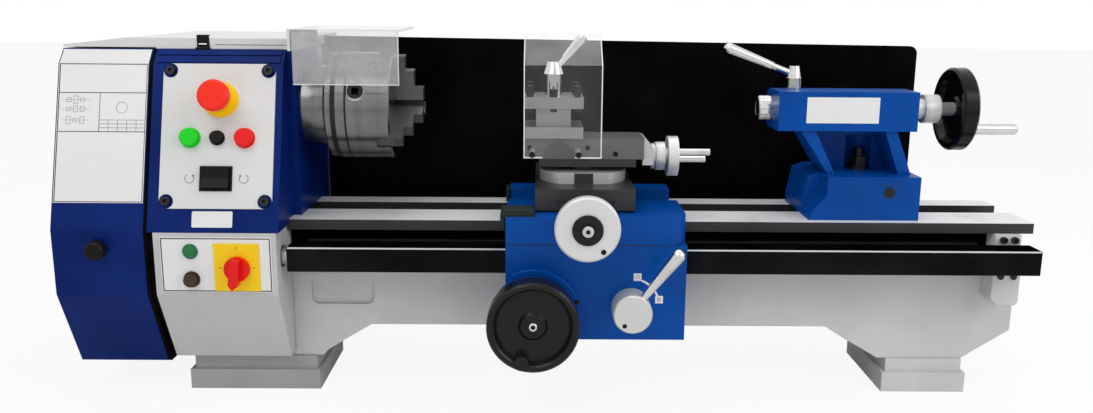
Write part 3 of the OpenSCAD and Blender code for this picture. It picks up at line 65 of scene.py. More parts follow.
def shade(red: int, green: int, blue: int) -> Colour:
    """Turns a colour as the eye reads it into linear light.

    Args:
        red: Its red, 0 to 255.
        green: Its green.
        blue: Its blue.

    Returns:
        The colour in linear light.
    """

    def channel(value: int) -> float:
        """One channel in linear light."""
        part = value / 255
        return part / 12.92 if part <= 0.04045 else ((part + 0.055) / 1.055) ** 2.4

    return (channel(red), channel(green), channel(blue))


class Signal:
    """A shader socket that takes part in expressions; each operator adds one Math node."""

    def __init__(self, sheet: "NodeSheet", socket: bpy.types.NodeSocket) -> None:
        """Wraps a socket of a sheet."""
        self.sheet = sheet
        self.socket = socket

    def _math(self, operation: str, *others: "Value") -> "Signal":
        """Adds a Math node with this socket first and the others after it."""
        inputs = dict(enumerate((self, *others)))
        return self.sheet.node("ShaderNodeMath", {"operation": operation}, inputs)

    def __add__(self, other: "Value") -> "Signal":
        """Sum."""
        return self._math("ADD", other)

    def __sub__(self, other: "Value") -> "Signal":
        """Difference."""
        return self._math("SUBTRACT", other)

    def __mul__(self, other: "Value") -> "Signal":
        """Product."""
        return self._math("MULTIPLY", other)

    def __rsub__(self, other: "Value") -> "Signal":
        """Difference with this socket taken away."""
        return self.sheet.node("ShaderNodeMath", {"operation": "SUBTRACT"}, {0: other, 1: self})

    __radd__ = __add__
    __rmul__ = __mul__

    def __gt__(self, other: "Value") -> "Signal":
        """One where this socket is larger, else zero."""
        return self._math("GREATER_THAN", other)

    def __lt__(self, other: "Value") -> "Signal":
        """One where this socket is smaller, else zero."""
        return self._math("LESS_THAN", other)

    def root(self) -> "Signal":
        """Square root."""
        return self._math("SQRT")

    def sine(self) -> "Signal":
        """Sine."""
        return self._math("SINE")

    def spread(self, low: float, high: float) -> "Signal":
        """Zero below low and one above high, smooth between them."""
        sockets = {"Value": self, "From Min": low, "From Max": high}
        return self.sheet.node("ShaderNodeMapRange", {"interpolation_type": "SMOOTHSTEP"}, sockets)


Value = Union[Signal, float, Colour]


class NodeSheet:
    """A node tree being written, through two methods for its nodes and their sockets."""

    def __init__(self, tree: bpy.types.NodeTree) -> None:
        """Starts on a tree."""
        self.tree = tree

    def node(
        self,
        kind: str,
        settings: Optional[dict[str, Any]] = None,
        sockets: Optional[dict[Union[str, int], Value]] = None,
        output: Union[str, int] = 0,
    ) -> Signal:
        """Adds a node.

        Args:
            kind: The node's type.
            settings: Its settings, set before its sockets.
            sockets: Values or links of its inputs.
            output: The output to return.

        Returns:
            The chosen output.
        """
        made = self.tree.nodes.new(kind)
        for name, value in (settings or {}).items():
            setattr(made, name, value)
        for name, value in (sockets or {}).items():
            self.plug(made.inputs[name], value)
        return Signal(self, made.outputs[output])

    def plug(self, target: bpy.types.NodeSocket, value: Value) -> None:
        """Links a signal to an input, or writes a plain value on it.

        Args:
            target: The input.
            value: The signal, number or colour.
        """
        if isinstance(value, Signal):
            self.tree.links.new(value.socket, target)
        elif isinstance(value, tuple) and target.type == "RGBA":
            target.default_value = (*value, 1.0)
        else:
            target.default_value = value


class ShaderSheet(NodeSheet):
    """One material being written: a Principled shader and the nodes that feed it."""

    def __init__(self, name: str) -> None:
        """Starts a material.

        Args:
            name: Its name.
        """
        self.material = bpy.data.materials.new(name)
        self.material.use_nodes = True
        super().__init__(self.material.node_tree)
        self.surface = self.tree.nodes["Principled BSDF"]

    def feed(self, **sockets: Value) -> None:
        """Feeds the surface shader; an underscore in a name stands for a space."""
        for name, value in sockets.items():
            self.plug(self.surface.inputs[name.replace("_", " ")], value)

    def place(self) -> tuple[Signal, Signal, Signal]:
        """The point's X, Y and Z in metres of the row frame."""
        spot = self.node("ShaderNodeTexCoord", output="Object")
        return tuple(self.node("ShaderNodeSeparateXYZ", None, {0: spot}, i) for i in range(3))

    def point(self, x: Value, y: Value, z: Value) -> Signal:
        """A point made of three numbers."""
        return self.node("ShaderNodeCombineXYZ", None, {0: x, 1: y, 2: z})

    def noise(self, scale: float, detail: float = 3.0, at: Optional[Signal] = None) -> Signal:
        """Cloudy noise from 0 to 1, at the object's own coordinates or at another point."""
        spot = at or self.node("ShaderNodeTexCoord", output="Object")
        return self.node("ShaderNodeTexNoise", None, {"Vector": spot, "Scale": scale, "Detail": detail})

    def blend(self, factor: Value, first: Value, second: Value) -> Signal:
        """A colour between two, by a factor from 0 to 1."""
        settings = {"data_type": "RGBA"}
        return self.node("ShaderNodeMix", settings, {0: factor, 6: first, 7: second}, 2)

    def relief(self, height: Signal, depth: float, round_edge: float = 0.0) -> None:
        """Feeds the normal with a bump.

        Args:
            height: The bump's height, 0 to 1.
            depth: Its depth in metres.
            round_edge: Radius in metres by which edges look rounded.
        """
        sockets: dict[Union[str, int], Value] = {"Height": height, "Distance": depth, "Strength": 1.0}
        if round_edge:
            sockets["Normal"] = self.node("ShaderNodeBevel", {"samples": 4}, {"Radius": round_edge})
        self.feed(Normal=self.node("ShaderNodeBump", None, sockets))


class Lay(Enum):
    """Direction of the tool marks on a machined face."""

    ALONG_X = (0.04, 1.0, 1.0)
    ALONG_Y = (1.0, 0.04, 1.0)
    EVEN = (1.0, 1.0, 1.0)


class Turned(Enum):
    """Axis about which a face was turned."""

    ABOUT_X = 0
    ABOUT_Y = 1


@dataclass(frozen=True)
class Enamel:
    """Sprayed enamel with faint orange peel, patches and dust; its colour counts from 0 to 255."""

    name: str
    colour: Colour
    roughness: float = 0.32
    coat: float = 0.35
    peel: float = 0.00004
    patch: float = 0.10
    edge: float = 0.0007
    shine: float = 0.22

    @property
    def tint(self) -> Colour:
        """The colour in linear light."""
        return shade(*self.colour)

    def shades(self, lift: float = 0.0, deepen: float = 1.0) -> tuple[Colour, Colour]:
        """The colour in its deeper and its lighter patches."""
        deep = tuple(c * (1 - self.patch * deepen) for c in self.tint)
        return deep, tuple(min(1.0, c * (1 + self.patch) + lift) for c in self.tint)

    def material(self) -> bpy.types.Material:
        """Makes the finish.

        Returns:
            The finish as a material.
        """
        sheet = ShaderSheet(self.name)
        self.write(sheet)
        return sheet.material

    def write(self, sheet: ShaderSheet) -> None:
        """Writes the finish's nodes.

        Args:
            sheet: The sheet that takes them.
        """
        cloud = sheet.noise(14.0, 4.0)
        dust = sheet.noise(900.0, 2.0).spread(0.62, 0.75)
        tone = sheet.blend(cloud.spread(0.3, 0.7), *self.shades(0.002))
        pale = tuple(min(1.0, c + 0.04) for c in self.tint)
        sheet.feed(
            Base_Color=sheet.blend(dust * 0.35, tone, pale),
            Roughness=cloud * 0.12 + (self.roughness - 0.06) + dust * 0.12,
            Coat_Weight=self.coat,
            Coat_Roughness=0.12,
            Specular_IOR_Level=self.shine,
        )
        sheet.relief(sheet.noise(420.0, 2.0), self.peel, self.edge)


@dataclass(frozen=True)
class Casting(Enamel):
    """Enamel over a sand casting, with the grain of the sand showing through."""

    grain: float = 0.00025

    def write(self, sheet: ShaderSheet) -> None:
        """Writes the finish's nodes.

        Args:
            sheet: The sheet that takes them.
        """
        cloud = sheet.noise(9.0, 5.0)
        sand = sheet.noise(240.0, 5.0)
        sheet.feed(
            Base_Color=sheet.blend(cloud.spread(0.3, 0.7), *self.shades()),
            Roughness=sand * 0.25 + (self.roughness - 0.1),
            Coat_Weight=self.coat,
            Specular_IOR_Level=self.shine,
        )
        sheet.relief(sand * 0.6 + cloud * 1.5, self.grain, self.edge * 2)


@dataclass(frozen=True)
class Ground(Enamel):
    """Ground or planed metal with fine parallel marks."""

    lay: Lay = Lay.ALONG_X
    metal: float = 0.7
    marks: float = 0.00002

    def write(self, sheet: ShaderSheet) -> None:
        """Writes the finish's nodes.

        Args:
            sheet: The sheet that takes them.
        """
        x, y, z = sheet.place()
        stretch = self.lay.value
        scaled = sheet.point(x * stretch[0], y * stretch[1], z * stretch[2])
        line = sheet.noise(2600.0, 2.0, scaled)
        cloud = sheet.noise(30.0, 5.0, scaled)
        stain = sheet.noise(18.0, 6.0).spread(0.45, 0.8)
        tone = sheet.blend(cloud, *self.shades())
        oil = tuple(c * 0.62 for c in self.tint)
        sheet.feed(
            Base_Color=sheet.blend(stain * 0.5, tone, oil),
            Roughness=line * 0.14 + cloud * 0.16 + (self.roughness - 0.15),
            Metallic=self.metal,
        )
        sheet.relief(line, self.marks, self.edge)


@dataclass(frozen=True)
class Lathed(Enamel):
    """Turned metal: fine rings about an axis that passes through a given point."""

    about: Turned = Turned.ABOUT_X
    centre: Point3 = (0.0, 0.0, 0.0)
    feed_mark: float = 0.0009
    depth: float = 0.000004
    metal: float = 0.75

    def write(self, sheet: ShaderSheet) -> None:
        """Writes the finish's nodes.

        Args:
            sheet: The sheet that takes them.
        """
        axes = list(sheet.place())
        offsets = [axes[i] - self.centre[i] * MM for i in range(3)]
        run = offsets.pop(self.about.value)
        radius = (offsets[0] * offsets[0] + offsets[1] * offsets[1]).root()
        ring = ((radius + run) * (2 * math.pi / self.feed_mark)).sine()
        band = sheet.noise(1.0, 3.0, sheet.point(run * 150.0, radius * 150.0, 0.0))
        smear = sheet.noise(26.0, 5.0)
        sheet.feed(
            Base_Color=sheet.blend(band * 0.7 + smear * 0.3, *self.shades(deepen=1.6)),
            Roughness=band * 0.16 + smear * 0.12 + (self.roughness - 0.14),
            Metallic=self.metal,
        )
        sheet.relief(ring, self.depth, self.edge)


class Plated(Enamel):
    """Polished plating with faint wiping marks."""

    def write(self, sheet: ShaderSheet) -> None:
        """Writes the finish's nodes.

        Args:
            sheet: The sheet that takes them.
        """
        wipe = sheet.noise(60.0, 5.0)
        ripple = sheet.noise(90.0, 2.0)
        dull = tuple(c * 0.8 for c in self.tint)
        sheet.feed(
            Base_Color=sheet.blend(wipe.spread(0.4, 0.8), self.tint, dull),
            Roughness=wipe * 0.1 + self.roughness,
            Metallic=1.0,
        )
        sheet.relief(ripple, 0.00001, self.edge)


@dataclass(frozen=True)
class Moulded(Enamel):
    """Moulded plastic or rubber with a fine even grain."""

    grain: float = 0.00003

    def write(self, sheet: ShaderSheet) -> None:
        """Writes the finish's nodes.

        Args:
            sheet: The sheet that takes them.
        """
        speck = sheet.noise(1400.0, 2.0)
        cloud = sheet.noise(25.0, 3.0)
        sheet.feed(
            Base_Color=sheet.blend(cloud, self.tint, self.shades(0.003)[1]),
            Roughness=speck * 0.1 + cloud * 0.08 + (self.roughness - 0.09),
            Coat_Weight=self.coat,
            Specular_IOR_Level=self.shine,
        )
        sheet.relief(speck, self.grain, self.edge)


@dataclass(frozen=True)
class ClearSheet(Enamel):
    """Clear plastic sheet: see-through in the flat, hazier in patches, bright at its cut edges."""

    haze: float = 0.12
    low: Point3 = (0.0, 0.0, 0.0)
    high: Point3 = (1.0, 1.0, 1.0)
    rim: float = 1.1

    def write(self, sheet: ShaderSheet) -> None:
        """Writes the finish's nodes.

        Args:
            sheet: The sheet that takes them.
        """
        x, _, z = sheet.place()
        rim = self.rim * MM
        side = (x < self.low[0] * MM + rim) + (x > self.high[0] * MM - rim)
        ends = (z < self.low[2] * MM + rim) + (z > self.high[2] * MM - rim)
        cut = (side + ends).spread(0.0, 1.0)
        smudge = sheet.noise(16.0, 4.0).spread(0.35, 0.8)
        sheet.feed(
            Base_Color=self.tint,
            Roughness=smudge * 0.12 + self.roughness,
            Alpha=cut * (0.9 - self.haze) + smudge * (self.haze * 0.5) + self.haze * 0.75,
            Coat_Weight=self.coat,
        )


ROYAL = Casting(
    "royal_blue_enamel", (0, 72, 156), 0.34, 0.04, patch=0.14, grain=0.00008, shine=0.1
)
NAVY = Enamel("navy_enamel", (0, 33, 104), 0.32, 0.03, patch=0.14, shine=0.08)
PALE_ENAMEL = Enamel("pale_enamel", (222, 223, 222), 0.4, 0.1, patch=0.03)
BED_GREY = Casting("bed_grey_enamel", (204, 204, 205), 0.5, 0.05, patch=0.07)
# A darker copy of the feet's pale grey: painted shade on the left foot and on the right foot's left-facing
# faces.
FOOT_SHADE_GREY = Casting("foot_painted_shade_grey", (168, 168, 169), 0.5, 0.05)
BOX_GREY = Casting("box_grey_enamel", (198, 198, 199), 0.48, 0.05, patch=0.04, grain=0.0001)
BLACK_ENAMEL = Enamel("black_enamel", (3, 3, 4), 0.34, 0.0, patch=0.2, shine=0.02)
SHEET_BLACK = Enamel("sheet_black", (22, 22, 23), 0.55, 0.0, patch=0.2, shine=0.0)
# Near black for painted shade: the cover's upward faces and the band on the bed's wall between the way's
# lip and the cover.
SHADE_BLACK = Enamel("painted_shade_black", (5, 5, 5), 0.7, 0.0, patch=0.3, shine=0.0)
# The ways' ground steel in a lit and a shaded copy: near white on tops and ends as a painted reflection,
# near black on the sides as painted shade.
WAY_REFLECTION = Ground("way_painted_reflection", (242, 242, 242), 0.42, patch=0.05, metal=0.1)
WAY_SHADE = Ground("way_side_painted_shade", (48, 48, 49), 0.42, patch=0.3, metal=0.4)
SLIDE_IRON = Ground("slide_iron", (58, 58, 58), 0.44, patch=0.25, metal=0.5)
TOP_IRON = Ground("top_slide_iron", (106, 106, 106), 0.42, patch=0.25, metal=0.5)
PLATE_STEEL = Ground("plate_steel", (196, 196, 195), 0.38, patch=0.14, metal=0.55)
POST_STEEL = Ground("post_steel", (150, 150, 149), 0.34, patch=0.3)
BRIGHT_STEEL = Ground("bright_steel", (204, 204, 203), 0.32, patch=0.12, lay=Lay.EVEN, metal=0.6)
DARK_STEEL = Ground("dark_steel", (34, 34, 35), 0.4, patch=0.25, lay=Lay.EVEN, metal=0.6)
GEAR_IRON = Ground("gear_iron", (128, 127, 124), 0.45, patch=0.2, lay=Lay.EVEN, metal=0.8)
CAST_IRON = Casting("cast_iron", (74, 74, 73), 0.6, 0.0, patch=0.2)
BRASS = Ground("nut_brass", (196, 160, 84), 0.35, patch=0.12, lay=Lay.EVEN, metal=0.9)
CHROME = Plated("lever_chrome", (214, 214, 213), 0.08)
CHUCK_STEEL = Lathed(
    "chuck_steel", (122, 122, 121), 0.24, patch=0.3,
    centre=(0, 0, SPINDLE_Z), depth=0.0000015, metal=1.0,
)
JAW_STEEL = Ground("jaw_steel", (92, 92, 90), 0.3, patch=0.25, lay=Lay.ALONG_Y)
SATIN_X = Lathed("satin_dial", (214, 214, 212), 0.38, patch=0.05, centre=(0, -25, 280), metal=0.5)
SATIN_Y = Lathed(
    "satin_wheel", (218, 218, 217), 0.42, patch=0.04, about=Turned.ABOUT_Y, centre=(-11, 0, 223),
    metal=0.3,
)
SATIN_HUB = Lathed(
    "satin_hub", (212, 212, 210), 0.4, patch=0.05, about=Turned.ABOUT_Y, centre=(40, 0, 126),
    metal=0.4,
)
ALUMINIUM = Lathed("pulley_aluminium", (196, 197, 199), 0.35, centre=(0, 0, SPINDLE_Z))
WHEEL_BLACK = Moulded("wheel_black", (14, 14, 15), 0.3, 0.08, patch=0.3, shine=0.2)
GLOSS_BLACK = Moulded("gloss_black", (6, 6, 7), 0.24, 0.08, patch=0.2, grain=0.00001, shine=0.16)
BELT_RUBBER = Moulded("belt_rubber", (24, 24, 24), 0.75, 0.0, patch=0.3, grain=0.0001)
# Greenish black rubber; its green tint is painted shade of the saddle's blue left wing.
WIPER_RUBBER_SHADE = Moulded("wiper_rubber_painted_shade", (22, 32, 28), 0.55, 0.0, patch=0.3, grain=0.0001)
SWITCH_BLACK = Moulded("switch_black", (16, 16, 17), 0.36, 0.0, patch=0.2, shine=0.12)
STOP_RED = Moulded("stop_red", (232, 6, 4), 0.32, 0.15, patch=0.06)
MUSHROOM_RED = Moulded("mushroom_red", (248, 36, 2), 0.4, 0.1, patch=0.06)
START_GREEN = Moulded("start_green", (0, 212, 22), 0.32, 0.15, patch=0.06)
LAMP_GREEN = Moulded("lamp_green", (4, 108, 56), 0.15, 0.4, patch=0.2)
FUSE_BROWN = Moulded("fuse_brown", (60, 42, 20), 0.3, 0.2, patch=0.2)
RING_YELLOW = Moulded("ring_yellow", (250, 208, 4), 0.36, 0.1, patch=0.04)
STICKER = Moulded("sticker_white", (232, 232, 232), 0.42, 0.05, patch=0.02, edge=0.0)
INK = Moulded("printed_ink", (40, 40, 42), 0.5, 0.0, edge=0.0)
FAINT_INK = Moulded("faint_ink", (120, 120, 122), 0.5, 0.0, edge=0.0)
# Pale grey for the painted highlight along the lead screw cover's folded edge.
FOLD_HIGHLIGHT = Enamel("fold_painted_highlight", (215, 216, 217), 0.25, 0.2, patch=0.05, edge=0.0)


class Studio:
    """Keeps one material for each finish."""

    ready: dict[str, bpy.types.Material] = {}

    @classmethod
    def material(cls, finish: Enamel) -> bpy.types.Material:
        """Gives the material of a finish, made on its first use.

        Args:
            finish: The finish.

        Returns:
            Its material.
        """
        if finish.name not in cls.ready:
            cls.ready[finish.name] = finish.material()
        return cls.ready[finish.name]


def dress(node: str, finish: Enamel, *parts: tuple[Enamel, Test]) -> None:
    """Gives a CAD node its finish, and other finishes to the faces that pass a test.

    Args:
        node: The node's name.
        finish: Its main finish.
        parts: Pairs of a finish and a test of a face's middle, in millimetres, and its normal.
    """
    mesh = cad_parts[node].data
    mesh.materials.clear()
    for coat in (finish, *(p[0] for p in parts)):
        mesh.materials.append(Studio.material(coat))
    for face in mesh.polygons:
        middle = face.center / MM
        hits = [i + 1 for i, (_, test) in enumerate(parts) if test(middle, face.normal)]
        face.material_index = hits[-1] if hits else 0
    log.info("dressed %s", node)


def clear_sheet(node: str, name: str, colour: Colour, roughness: float, haze: float) -> ClearSheet:
    """A see-through finish that ends where a CAD node's box ends."""
    low, high = (tuple(v / MM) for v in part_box(node))
    return ClearSheet(name, colour, roughness, 0.2, haze=haze, low=low, high=high)


def dress_plain(**finishes: Enamel) -> None:
    """Gives each of several CAD nodes one finish."""
    for node, finish in finishes.items():
        dress(node, finish)


class Shape:
    """A piece in the making: meshes in millimetres, gathered and then hung on a body."""

    def __init__(self) -> None:
        """Starts an empty piece."""
        self.mesh = bmesh.new()

    def revolve(self, profile: Sequence[Point2], at: Point3, axis: Point3, steps: int = 48) -> "Shape":
        """Turns a profile about an axis.

        Args:
            profile: Pairs of radius and height along the axis, from one end to the other.
            at: The axis's start.
            axis: Its direction.
            steps: Number of facets round the axis.

        Returns:
            This piece.
        """
        turn = Vector((0, 0, 1)).rotation_difference(Vector(axis)).to_matrix()
        rings = []
        for radius, height in profile:
            count = steps if radius > 1e-6 else 1
            ring = []
            for i in range(count):
                angle = 2 * math.pi * i / count
                spot = Vector((radius * math.cos(angle), radius * math.sin(angle), height))
                ring.append(self.mesh.verts.new(turn @ spot + Vector(at)))
            rings.append(ring)
        for low, high in zip(rings, rings[1:]):
            for i in range(steps):
                a, b = low[i % len(low)], low[(i + 1) % len(low)]
                c, d = high[(i + 1) % len(high)], high[i % len(high)]
                corners = list(dict.fromkeys((a, b, c, d)))
                if len(corners) > 2:
                    self.mesh.faces.new(corners)
        for ring in (rings[0], rings[-1]):
            if len(ring) > 2:
                self.mesh.faces.new(ring)
        return self

    def plate(
        self, outline: Sequence[Point2], at: Point3, depth: float, u: Point3 = RIGHT, v: Point3 = UP
    ) -> "Shape":
        """Stretches a flat outline into a plate.

        Args:
            outline: Corners as steps along u and v.
            at: The outline's origin.
            depth: Thickness along u cross v.
            u: Direction of the outline's first coordinate.
            v: Direction of its second.

        Returns:
            This piece.
        """
        along, up = Vector(u).normalized(), Vector(v).normalized()
        out = along.cross(up)
        levels = [
            [self.mesh.verts.new(Vector(at) + along * a + up * b + out * h) for a, b in outline]
            for h in (0.0, depth)
        ]
        self.mesh.faces.new(list(reversed(levels[0])))
        self.mesh.faces.new(levels[1])
        count = len(outline)
        for i in range(count):
            j = (i + 1) % count
            self.mesh.faces.new((levels[0][i], levels[0][j], levels[1][j], levels[1][i]))
        return self

    def bar(self, low: Point3, high: Point3) -> "Shape":
        """A bar between two corners."""
        outline = rectangle(low[0], high[0], low[1], high[1])
        return self.plate(outline, (0, 0, low[2]), high[2] - low[2], RIGHT, BACK)

    def hang(
        self, name: str, finish: Enamel, body: str, slot: str, edge: float = 0.0
    ) -> None:
        """Makes the object, gives it its finish and lets it ride on a body.

        Args:
            name: The piece's name.
            finish: Its finish.
            body: The body that it moves with.
            slot: Not used.
            edge: Radius of its rounded edges, in millimetres; 0 leaves them sharp.
        """
        bmesh.ops.recalc_face_normals(self.mesh, faces=self.mesh.faces)
        bmesh.ops.scale(self.mesh, vec=(MM, MM, MM), verts=self.mesh.verts)
        mesh = bpy.data.meshes.new(name)
        self.mesh.to_mesh(mesh)
        self.mesh.free()
        mesh.polygons.foreach_set("use_smooth", [True] * len(mesh.polygons))
        mesh.set_sharp_from_angle(angle=SMOOTH_ANGLE)
        piece = bpy.data.objects.new(name, mesh)
        bpy.context.scene.collection.objects.link(piece)
        mesh.materials.append(Studio.material(finish))
        if edge:
            rounding = piece.modifiers.new("rounded_edges", "BEVEL")
            rounding.width = edge * MM
            rounding.segments = 2
            rounding.limit_method = "ANGLE"
            rounding.angle_limit = math.radians(40)
        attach(piece, body)
        log.info("made %s on %s", name, body)


def rectangle(a0: float, a1: float, b0: float, b1: float) -> list[Point2]:
    """Four corners of a rectangle."""
    return [(a0, b0), (a1, b0), (a1, b1), (a0, b1)]


def arc(radius: float, start: float, end: float, steps: int = 16) -> list[Point2]:
    """Points on an arc about the origin, angles in degrees."""
    angles = [math.radians(start + (end - start) * i / steps) for i in range(steps + 1)]
    return [(radius * math.cos(a), radius * math.sin(a)) for a in angles]


def arc_band(radius: float, width: float, start: float, end: float, steps: int = 16) -> list[Point2]:
    """Outline of a strip bent along an arc."""
    inner = arc(radius - width / 2, start, end, steps)
    return inner + list(reversed(arc(radius + width / 2, start, end, steps)))


def low_ring(inner: float, outer: float, rim: float, top: float, height: float) -> list[Point2]:
    """Profile of a low ring, or of a cap where inner is 0; its outer edge slopes from rim to top."""
    return [(inner, 0), (outer, 0), (outer, rim), (top, height), (inner, height)]


def frame_strips(width: float, height: float, line: float) -> list[list[Point2]]:
    """Makes a rectangular border about the origin.

    Args:
        width: Its width.
        height: Its height.
        line: Width of its line.

    Returns:
        The outlines of its four strips.
    """
    w, h = width / 2, height / 2
    return [
        rectangle(-w, w, h - line, h),
        rectangle(-w, w, -h, line - h),
        rectangle(-w, line - w, line - h, h - line),
        rectangle(w - line, w, line - h, h - line),
    ]


TILT = math.radians(17.07)
SLOPE_TOP: Point2 = (-60.0, 386.0)
UP_SLOPE: Point3 = (0, math.sin(TILT), math.cos(TILT))
OFF_SLOPE: Point3 = (0, -math.cos(TILT), math.sin(TILT))


def on_slope(x: float, s: float, out: float = 0.0) -> Point3:
    """A point on the sloping front of the headstock and of the gear cover.

    Args:
        x: Its X.
        s: Its distance down the slope from the upper edge.
        out: Its height over the slope.

    Returns:
        The point.
    """
    return tuple(Vector((x, *SLOPE_TOP)) - Vector(UP_SLOPE) * s + Vector(OFF_SLOPE) * out)


def off_axis(p: Vector, at: Point3) -> float:
    """Distance of a point from an axis that runs along Y through another point."""
    return math.hypot(p.x - at[0], p.z - at[2])


def turned(
    name: str, finish: Enamel, profile: Sequence[Point2], at: Point3, body: str = "frame",
    slot: str = "black_plastic", axis: Point3 = FRONT, steps: int = 28,
) -> None:
    """Makes a small turned fitting.

    Args:
        name: The piece's name.
        finish: Its finish.
        profile: Pairs of radius and height, as in Shape.revolve.
        at: The middle of its foot.
        body: The body that carries it.
        slot: The record's material slot.
        axis: The direction that it stands in.
        steps: Number of facets round it.
    """
    Shape().revolve(profile, at, axis, steps).hang(name, finish, body, slot)


def graduations(
    name: str, at: Point3, axis: Point3, radius: float, length: float, body: str
) -> None:
    """Raised scale lines round a dial; every fifth is longer.

    Args:
        name: The piece's name.
        at: Middle of the dial's scale end.
        axis: Direction of the dial's axis, towards its other end.
        radius: Radius of the dial.
        length: Length of a long line.
        body: The body that carries the dial.
    """
    shape = Shape()
    out = Vector(axis).normalized()
    side = out.orthogonal().normalized()
    for i in range(DIAL_LINES):
        angle = 2 * math.pi * i / DIAL_LINES
        radial = side * math.cos(angle) + out.cross(side) * math.sin(angle)
        outline = rectangle(-0.14, 0.14, 0.0, length * 0.6 if i % 5 else length)
        root = Vector(at) + radial * (radius - 0.15)
        shape.plate(outline, tuple(root), 0.22, tuple(out.cross(radial)), tuple(out))
    shape.hang(name, INK, body, "satin_steel")


def socket_screw(
    shape: Shape, at: Point3, axis: Point3, radius: float, height: float, key: float
) -> Shape:
    """Adds a socket screw's head: a rounded rim and a sunk cup.

    Args:
        shape: The piece that takes it.
        at: The middle of its foot.
        axis: The direction that it faces.
        radius: Its radius.
        height: Its height.
        key: Radius of its cup.

    Returns:
        The piece.
    """
    profile = [
        (0.0, 0.0), (radius, 0.0), (radius, height - 0.5), (radius - 0.5, height),
        (key, height), (key - 0.15, height - 1.6), (0.0, height - 1.9),
    ]
    return shape.revolve(profile, at, axis, 36)


class Assembly:
    """One sub-assembly of the lathe."""

    def dress(self) -> None:
        """Gives its CAD nodes their finishes."""

    def build(self) -> None:
        """Adds the fittings that its CAD nodes lack."""


@dataclass
class Bed(Assembly):
    """Bed casting with its ground ways, feet, rack and lead screw."""

    lip_bottom: float = 198.0
    wall: float = -52.0
    cover_edge: Point2 = (-105.0, 186.0)
    cover_ends: Point2 = (-345.0, 504.0)
    bracket_x: float = 464.0
    rack_ends: Point2 = (-331.0, 450.0)
    rack_top: float = 184.9
    strip_foot: float = 171.0

    def dress(self) -> None:
        """Paints the casting, leaves the rack and screw bright, and gives the ways' tops and ends a near
        white painted reflection and their sides a dark painted shade.
        """
        lip = self.lip_bottom - 0.2
        # Tops and ends of the ways take the painted reflection, their sides the painted shade.
        ways: Test = lambda p, n: p.z > lip and (n.z > 0.5 or abs(n.y) < 0.5)
        sides: Test = lambda p, n: p.z > lip and n.z < 0.5
        dress("bed", BED_GREY, (WAY_REFLECTION, ways), (WAY_SHADE, sides))
        # Both feet share one pale grey. The right foot's faces, save those facing left, take the paler bed
        # grey as painted light, and the rest take a darker grey as painted shade.
        dress("feet", FOOT_SHADE_GREY, (BED_GREY, lambda p, n: p.x > 0 and n.x > -0.5))
        # The cover's upward faces take a deeper black as painted shade under the way's lip.
        dress("lead_screw_cover", SHEET_BLACK, (SHADE_BLACK, lambda p, n: n.z > 0.5))
        flange: Test = lambda p, n: p.x < 0 and p.z < 250
        dress("bearings", BRIGHT_STEEL, (PALE_ENAMEL, lambda p, n: p.x > 0), (BOX_GREY, flange))
        dress_plain(
            feed_rack=DARK_STEEL, lead_screw=BRIGHT_STEEL, splash_guard=BLACK_ENAMEL,
            socket_screws=DARK_STEEL,
        )

    def build(self) -> None:
        """Adds a pale painted highlight along the cover's fold, a black band of painted shade over it and
        the end bracket's foot.
        """
        # A thin pale strip along the cover's folded front edge: a painted highlight.
        y, z = self.cover_edge
        low, high = self.cover_ends
        section = [
            (y + 0.1, z - 1.7), (y - 0.25, z - 1.2), (y - 0.1, z), (y + 0.5, z + 0.2), (y + 1.2, z + 0.05),
        ]
        fold = Shape().plate(section, (low + 1, 0, 0), high - low - 2, BACK)
        fold.hang("cover_fold_highlight", FOLD_HIGHLIGHT, "frame", "black_paint")
        start, end = low - 7.5, self.bracket_x - 0.3
        left, right = self.rack_ends
        # A black band of painted shade on the bed's wall, above and beside the rack, between the way's lip
        # and the cover.
        strip = Shape()
        for x0, x1, z0, z1 in (
            (start, end, self.rack_top, self.lip_bottom - 0.1),
            (start, left - 0.2, self.strip_foot, self.rack_top),
            (right + 0.2, end, self.strip_foot, self.rack_top),
        ):
            strip.bar((x0, self.wall - 0.3, z0), (x1, self.wall + 0.1, z1))
        strip.hang("wall_painted_shade", SHADE_BLACK, "frame", "black_paint", edge=0.1)
        screws = Shape()
        for x in (self.bracket_x + 7.0, self.bracket_x + 22.0):
            screws.revolve(low_ring(0, 2.6, 0.6, 1.2, 0.9), (x, self.wall - 22.0, 168.0), FRONT, 24)
            screws.revolve(low_ring(0, 3.6, 2.4, 3.0, 3.0), (x + 1.0, self.wall - 26.0, 149.5), FRONT, 28)
        screws.hang("bracket_plugs", DARK_STEEL, "frame", "dark_steel")
        outline = [(0, 43.5), (0, 8), (7, 0), (29, 0), (32.5, 4), (32.5, 43.5)]
        at = (self.bracket_x - 1.0, self.wall - 0.05, 114.4)
        foot = Shape().plate(outline, at, 26.0)
        foot.hang("bracket_foot", BED_GREY, "frame", "grey_paint", edge=1.0)


